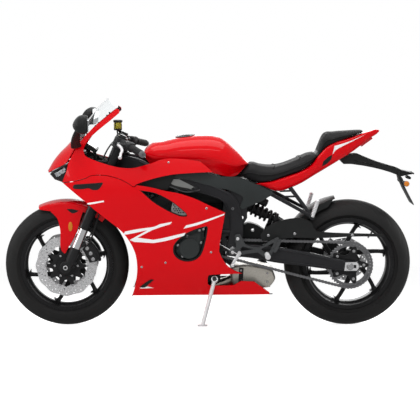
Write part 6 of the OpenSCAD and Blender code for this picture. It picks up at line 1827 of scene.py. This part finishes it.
for x0, x1, y, foot_z, top_z, end_z in ((150, 176, -73.6, 216, 296, 294), (286, 300, -71.5, 212, 282, 278)):
    corners = [(x0, foot_z), (x0 + 4, top_z), (x1, end_z), (x1 - 4, 216)]
    plate_net = cut_flat(runs(*zip(corners, corners[1:] + corners[:1]), step=9))
    seam.append(upright_plate(plate_net, y - 2.0, y + 3))
can_bolts = [lathed((x, -75.4, z), (0, -1, 0), [[0, 5.5], [3, 5.5], [4, 4.4], [4, 2.4], [2, 2.2]], 12)
             for x, z in ((163, 282), (163, 232), (292, 268), (292, 226))]
put("silencer_fittings", joined(outlet, *seam), "chassis", cast_black, bevel=0.5)
put("silencer_bolts", joined(*can_bolts, both(bar((70, -58, 340), (145, -58, 288), 7))), "chassis",
    steel_bright)
painted("belly_pan", red_gloss)

# ---- Swingarm and shock ----
# Braced aluminium swingarm in satin black with chain adjusters at its ends, and one inclined coil
# shock with a remote cylinder between its lug and the frame's cross tube.
arm_path = [[114, -123.5, 390, 58, 32], [220, -123.5, 384, 66, 32], [340, -123.5, 366, 76, 32],
            [480, -123.5, 346, 70, 32], [600, -123.5, 324, 58, 32], [680, -123.5, 313, 50, 32],
            [728, -123.5, 312, 44, 30]]
lug = [[300, -28, 380, 60, 12], [345, -28, 440, 50, 12], [378, -28, 502, 40, 12]]
put("swingarm_casting",
    joined(both(beam(arm_path, 80, 5)), both(beam(lug, 24, 5)), crossbar(120, 398, -121, 121, 22, 36),
           beam([[236, 0, 374, 56, 244], [283, 0, 373, 58, 244], [330, 0, 372, 54, 244]], 12, 8, 36),
           crossbar(378, 502, -36, 36, 9)), "chassis", frame_satin, ["swingarm"], sharp=36)
ribs = []
for upper in (1, -1):
    ribs.append(swept(through([(190, -140, 386 + upper * 22), (340, -140, 366 + upper * 27),
                               (480, -140, 346 + upper * 24), (604, -140, 324 + upper * 18)], 40),
                      rounded_ring(10, 3), 2.2, 2.6, (0, 1, 0)))
put("swingarm_ribs", both(joined(*ribs)), "chassis", frame_satin, sharp=50)
blocks, nuts = [], []
for side in (-1, 1):
    face = side * 139.5
    plate_net = cut_flat(runs([(662, 291), (667, 332)], [(667, 332), (722, 333)],
                              [(722, 333), (731, 322), (731, 302)], [(731, 302), (722, 291)],
                              [(722, 291), (662, 291)], step=8),
                         [ring_points(13, 24, (690, 312)),
                          runs([(708, 304), (708, 320)], [(708, 320), (720, 320)],
                               [(720, 320), (720, 304)], [(720, 304), (708, 304)], step=8)])
    blocks.append(upright_plate(plate_net, face - 1, face + side * 3.5))
    nuts.append(lathed((690, face - side * 2, 312), (0, side, 0), [[0, 19], [5, 19], [6, 18], [6, 15.5]], 36))
    nuts.append(lathed((690, face + side * 3, 312), (0, side, 0),
                       [[0, 16], [6.5, 16], [8, 14.6], [8, 10], [5.4, 9.6], [5.4, 2]], 6 if side < 0
                       else 30))
    nuts.append(bar((724, side * 123.5, 311), (750, side * 123.5, 308), 4, sides=14))
    nuts.append(lathed((732, side * 123.5, 310), (1, 0, -0.1), [[0, 7.5], [7, 7.5], [7.6, 6]], 6))
put("axle_adjusters", joined(*blocks, crossbar(690, 312, -136, 136, 12.5)), "chassis", alloy,
    bevel=0.7)
put("axle_nuts",
    joined(*nuts,
           both(lathed((120, -160.5, 398), (0, -1, 0),
                       [[0, 14], [5, 14], [6, 12.8], [6, 8], [3.5, 7.6], [3.5, 2]], 6))), "chassis",
    steel_bright)

shock_top, shock_foot = np.array([158.0, 0, 610]), np.array([378.0, 0, 502])
shock_run = shock_foot - shock_top
shock_long = float(np.linalg.norm(shock_run))
shock_axis = shock_run / shock_long
shock_up = np.cross(shock_axis, [0, 1, 0])
body = lathed(shock_top, shock_axis,
              [[-4, 10], [0, 14], [16, 16], [18, 30], [26, 33], [32, 33], [33, 24], [70, 24], [150, 22],
               [151, 13], [188, 13], [189, 31], [197, 33], [201, 31], [202, 15], [232, 14], [236, 11]], 44)
turns, wire = 6.5, 6.2
a = np.linspace(0, turns * 2 * math.pi, 230)
reach = 34 + (190 - 34) * a / a[-1]
helix = shock_top + reach[:, None] * shock_axis + 28.5 * (np.cos(a)[:, None] * [0, 1, 0]
    + np.sin(a)[:, None] * shock_up)
spring = swept(helix, rounded_ring(12, 2.0), wire, wire, shock_axis)
piggy = lathed(shock_top + 34 * shock_axis + 52 * shock_up, shock_axis,
               [[0, 12], [2, 18], [8, 20], [84, 20], [90, 18], [92, 12]], 36)
link = swept(np.linspace(shock_top + 24 * shock_axis + 16 * shock_up, shock_top + 40 * shock_axis
                         + 44 * shock_up, 6), rounded_ring(16, 3), 12, 10)
spring_black = finish("spring_black", (0.012, 0.012, 0.013), (0.02, 0.02, 0.021), 0.3, 0.08, 700, 0.08, 10.0)
foot_eye = crossbar(378, 502, -21, 21, 17, 36)
put("shock_body", joined(body, link, piggy, foot_eye), "chassis", cast_black,
    ["shock_absorber"])
put("shock_spring", spring, "chassis", spring_black)
put("shock_rod", bar(shock_top + 150 * shock_axis, shock_top + 190 * shock_axis, 7.5), "chassis",
    chrome)

# ---- Rear mudguard and chain guard ----
# A black moulding hugs the tyre ahead of the axle and carries on as a thin guard over the chain.
rows = []
for a in np.radians(np.linspace(102, 159, 34)):
    wide = 76 * (1 - 0.42 * np.clip((math.radians(114) - a) / math.radians(12), 0, 1) ** 1.6)
    v = np.linspace(-1, 1, 21)
    crown_r = 326 + 9 * (1 - np.abs(v) ** 2.4)
    top = np.stack([crown_r + 3, wide * v], -1)
    low = np.stack([crown_r - 0.5, wide * v * 0.96], -1)[::-1]
    hem = 326 - 26 * np.clip((wide - 52) / 20, 0, 1)
    loop = np.concatenate([top, [[hem, wide], [hem, wide * 0.96]], low, [[hem, -wide * 0.96], [hem, -wide]]])
    rows.append(np.stack([REAR_AXLE[0] + loop[:, 0] * math.cos(a), loop[:, 1],
                          REAR_AXLE[2] + loop[:, 0] * math.sin(a)], -1))
guard = cut_flat(runs([(262, 436), (254, 462), (262, 476)],
                      [(262, 476), (288, 504), (324, 525), (380, 542), (436, 549)],
                      [(436, 549), (482, 537), (504, 521), (512, 500), (530, 482)],
                      [(530, 482), (620, 475), (720, 470), (846, 468)],
                      [(846, 468), (858, 462), (850, 456)],
                      [(850, 456), (720, 457), (560, 450), (420, 452)],
                      [(420, 452), (360, 448), (300, 438), (262, 436)]), (), 20)
cheek = cut_flat(runs([(282, 436), (290, 470), (308, 502), (338, 524), (362, 522)],
                      [(362, 522), (388, 502), (388, 470), (380, 442)], [(380, 442), (282, 436)]), (), 20)
stays = [bar((REAR_AXLE[0] + 331 * math.cos(math.radians(d)), -68, REAR_AXLE[2]
              + 331 * math.sin(math.radians(d))),
             (REAR_AXLE[0] + 328 * math.cos(math.radians(d)), -122, REAR_AXLE[2]
              + 328 * math.sin(math.radians(d))), 6) for d in (145, 153)]
put("rear_mudguard",
    joined(capped(np.stack(rows)), both(upright_plate(cheek, -123, -119)), *[both(s) for s in stays],
           both(bar((300, -123.5, 400), (300, -123.5, 442), 7))), "chassis",
    moulded_black, ["rear_hugger"], sharp=42, bevel=0.6)
put("chain_guard",
    joined(upright_plate(guard, -129.5, -126.5),
           beam([[330, -118, 500, 3, 18], [420, -118, 484, 3, 18], [560, -118, 474, 3, 18],
                 [846, -118, 466, 3, 18]], 30)), "chassis", moulded_black, bevel=0.5)
guard_heads = [lathed((x, -129, z), (0, -1, 0), [[0, 7], [2, 7], [3.4, 5.4], [3.4, 3], [2, 2.6]], 16)
               for x, z in ((292, 462), (420, 470), (700, 463))]
put("chain_guard_bolts", joined(*guard_heads), "chassis", steel_bright)

# ---- Footrests and levers ----
# Rider's footrests on satin alloy brackets bolted to the pivot plates, with knurled pegs and a heel
# guard; a gear lever and a brake pedal; folded passenger's pegs on pairs of black struts.
REST_Y = 163.5
bracket_grey = finish("bracket_grey", (0.042, 0.044, 0.046), (0.066, 0.068, 0.07), 0.42, 0.14, 1300, 0.3,
                      9.0, Metallic=0.25)
bracket_net = cut_flat(runs([(128, 464), (138, 474), (154, 474)],
                            [(154, 474), (168, 446), (182, 424), (204, 414)],
                            [(204, 414), (250, 410), (290, 436), (330, 458)],
                            [(330, 458), (340, 458), (344, 446)], [(344, 446), (326, 412), (306, 374)],
                            [(306, 374), (294, 360), (276, 359)], [(276, 359), (258, 372), (240, 385)],
                            [(240, 385), (196, 380), (150, 372), (112, 371)],
                            [(112, 371), (103, 380), (104, 396)],
                            [(104, 396), (124, 402), (134, 414), (132, 440)]),
                       [runs([(160, 392), (204, 398)], [(204, 398), (222, 402)], [(222, 402), (196, 406)],
                             [(196, 406), (168, 414)], [(168, 414), (156, 404)], step=6),
                        runs([(256, 398), (284, 380)], [(284, 380), (296, 388), (318, 434)],
                             [(318, 434), (290, 420)], [(290, 420), (262, 406)], step=6)])
put("footrest_brackets",
    both(joined(upright_plate(bracket_net, -REST_Y - 8, -REST_Y), crossbar(142, 452, -REST_Y, -150, 7),
                crossbar(118, 386, -REST_Y, -150, 7))), "chassis", bracket_grey,
    ["rider_footrests"], bevel=1.6)
peg = [[0, 9], [2, 11.5], [8, 11.5]]
for k in range(12):
    peg += [[12 + 6 * k, 11.6], [13.4 + 6 * k, 9.8], [15 + 6 * k, 9.8], [16.4 + 6 * k, 11.6]]
peg += [[84, 11.6], [86, 13], [89, 13], [91, 10]]
heads = [lathed((x, -REST_Y - 7, z), (0, -1, 0), [[0, 8], [3, 8], [4.4, 6.6], [4.4, 4], [2, 3.6]], 18)
         for x, z in ((142, 452), (118, 386))]
put("rider_pegs", both(joined(lathed((284, -REST_Y - 3, 376), (0, -1, 0), peg, 24), *heads)), "chassis",
    alloy)
heel = cut_flat(runs([(312, 392), (338, 444)], [(338, 444), (352, 452), (352, 438)],
                     [(352, 438), (336, 400), (322, 384)], step=8))
put("heel_guards", both(upright_plate(heel, -REST_Y - 11, -REST_Y - 8)), "chassis",
    bracket_grey, bevel=0.5)
lever = swept(through([(154, -REST_Y - 20, 387), (140, -REST_Y - 21, 366), (126, -REST_Y - 23, 344),
                       (117, -REST_Y - 25, 328)], 20), rounded_ring(16, 3), np.linspace(5, 4.4, 20),
              np.linspace(9, 6, 20), (0, 1, 0))
toe = lathed((117, -REST_Y - 22, 330), (0, -1, 0),
             [[0, 7], [4, 8.4], [12, 7.4], [16, 8.4], [24, 7.4], [28, 8.4], [36, 8.2], [38, 6]], 24)
pin = crossbar(150, 385, -REST_Y - 28, -REST_Y - 3, 8)
shift_rod = bar((150, -REST_Y - 14, 372), (52, -150, 424), 3.6)
joint_ends = [lathed(np.array(p) - [0, 5, 0], (0, 1, 0), [[0, 5], [1, 7], [9, 7], [10, 5]], 18)
              for p in ((150, -REST_Y - 14, 372), (54, -150, 423))]
put("foot_lever_arms", both(joined(lever, pin, toe)), "chassis", alloy, ["foot_levers"],
    bevel=0.4)
put("gear_linkage", joined(shift_rod, *joint_ends, bar((54, -150, 423), (54, -112, 423), 5)), "chassis",
    steel_bright)
strut_set = [swept(np.linspace(a, (502, -146, 556), 12), rounded_ring(18, 3), 6.5, np.linspace(10, 8, 12),
                   (0, 1, 0)) for a in ((264, -104, 684), (384, -95, 710))]
put("passenger_struts",
    both(joined(*strut_set, crossbar(502, 556, -160, -132, 14),
                swept(np.linspace((362, -119, 650), (424, -122, 652), 6), rounded_ring(10, 3), 3, 5,
                      (0, 1, 0)))), "chassis", frame_satin, ["passenger_footrests"],
    bevel=0.5)
folded = [[0, 9], [2, 10.5], [10, 10.5], [12, 9]]
for k in range(8):
    folded += [[15 + 8 * k, 10.4], [17 + 8 * k, 8.8], [19 + 8 * k, 8.8], [21 + 8 * k, 10.4]]
folded += [[82, 10.4], [86, 9], [88, 6]]
put("passenger_pegs", both(lathed((502, -152, 556), (26, -14, 84), folded, 22)), "chassis",
    alloy)

splash_net = cut_flat(runs([(176, 500), (206, 510), (246, 498)], [(246, 498), (280, 474), (306, 438)],
                           [(306, 438), (300, 410)], [(300, 410), (196, 400), (150, 416)],
                           [(150, 416), (164, 460), (176, 500)]), [ring_points(8, 20, (222, 474))])
put("inner_mudguard", upright_plate(splash_net, -28, 28), "chassis", moulded_black,
    bevel=2.0)

# ---- Rear brake and stand ----
# The rear caliper hangs under the right arm; the side stand is a tapered bright tube with a forged
# eye and a round foot plate that sits flat on the ground when the machine leans on it.
painted("rear_caliper", cast_black)
painted("side_stand", alloy)
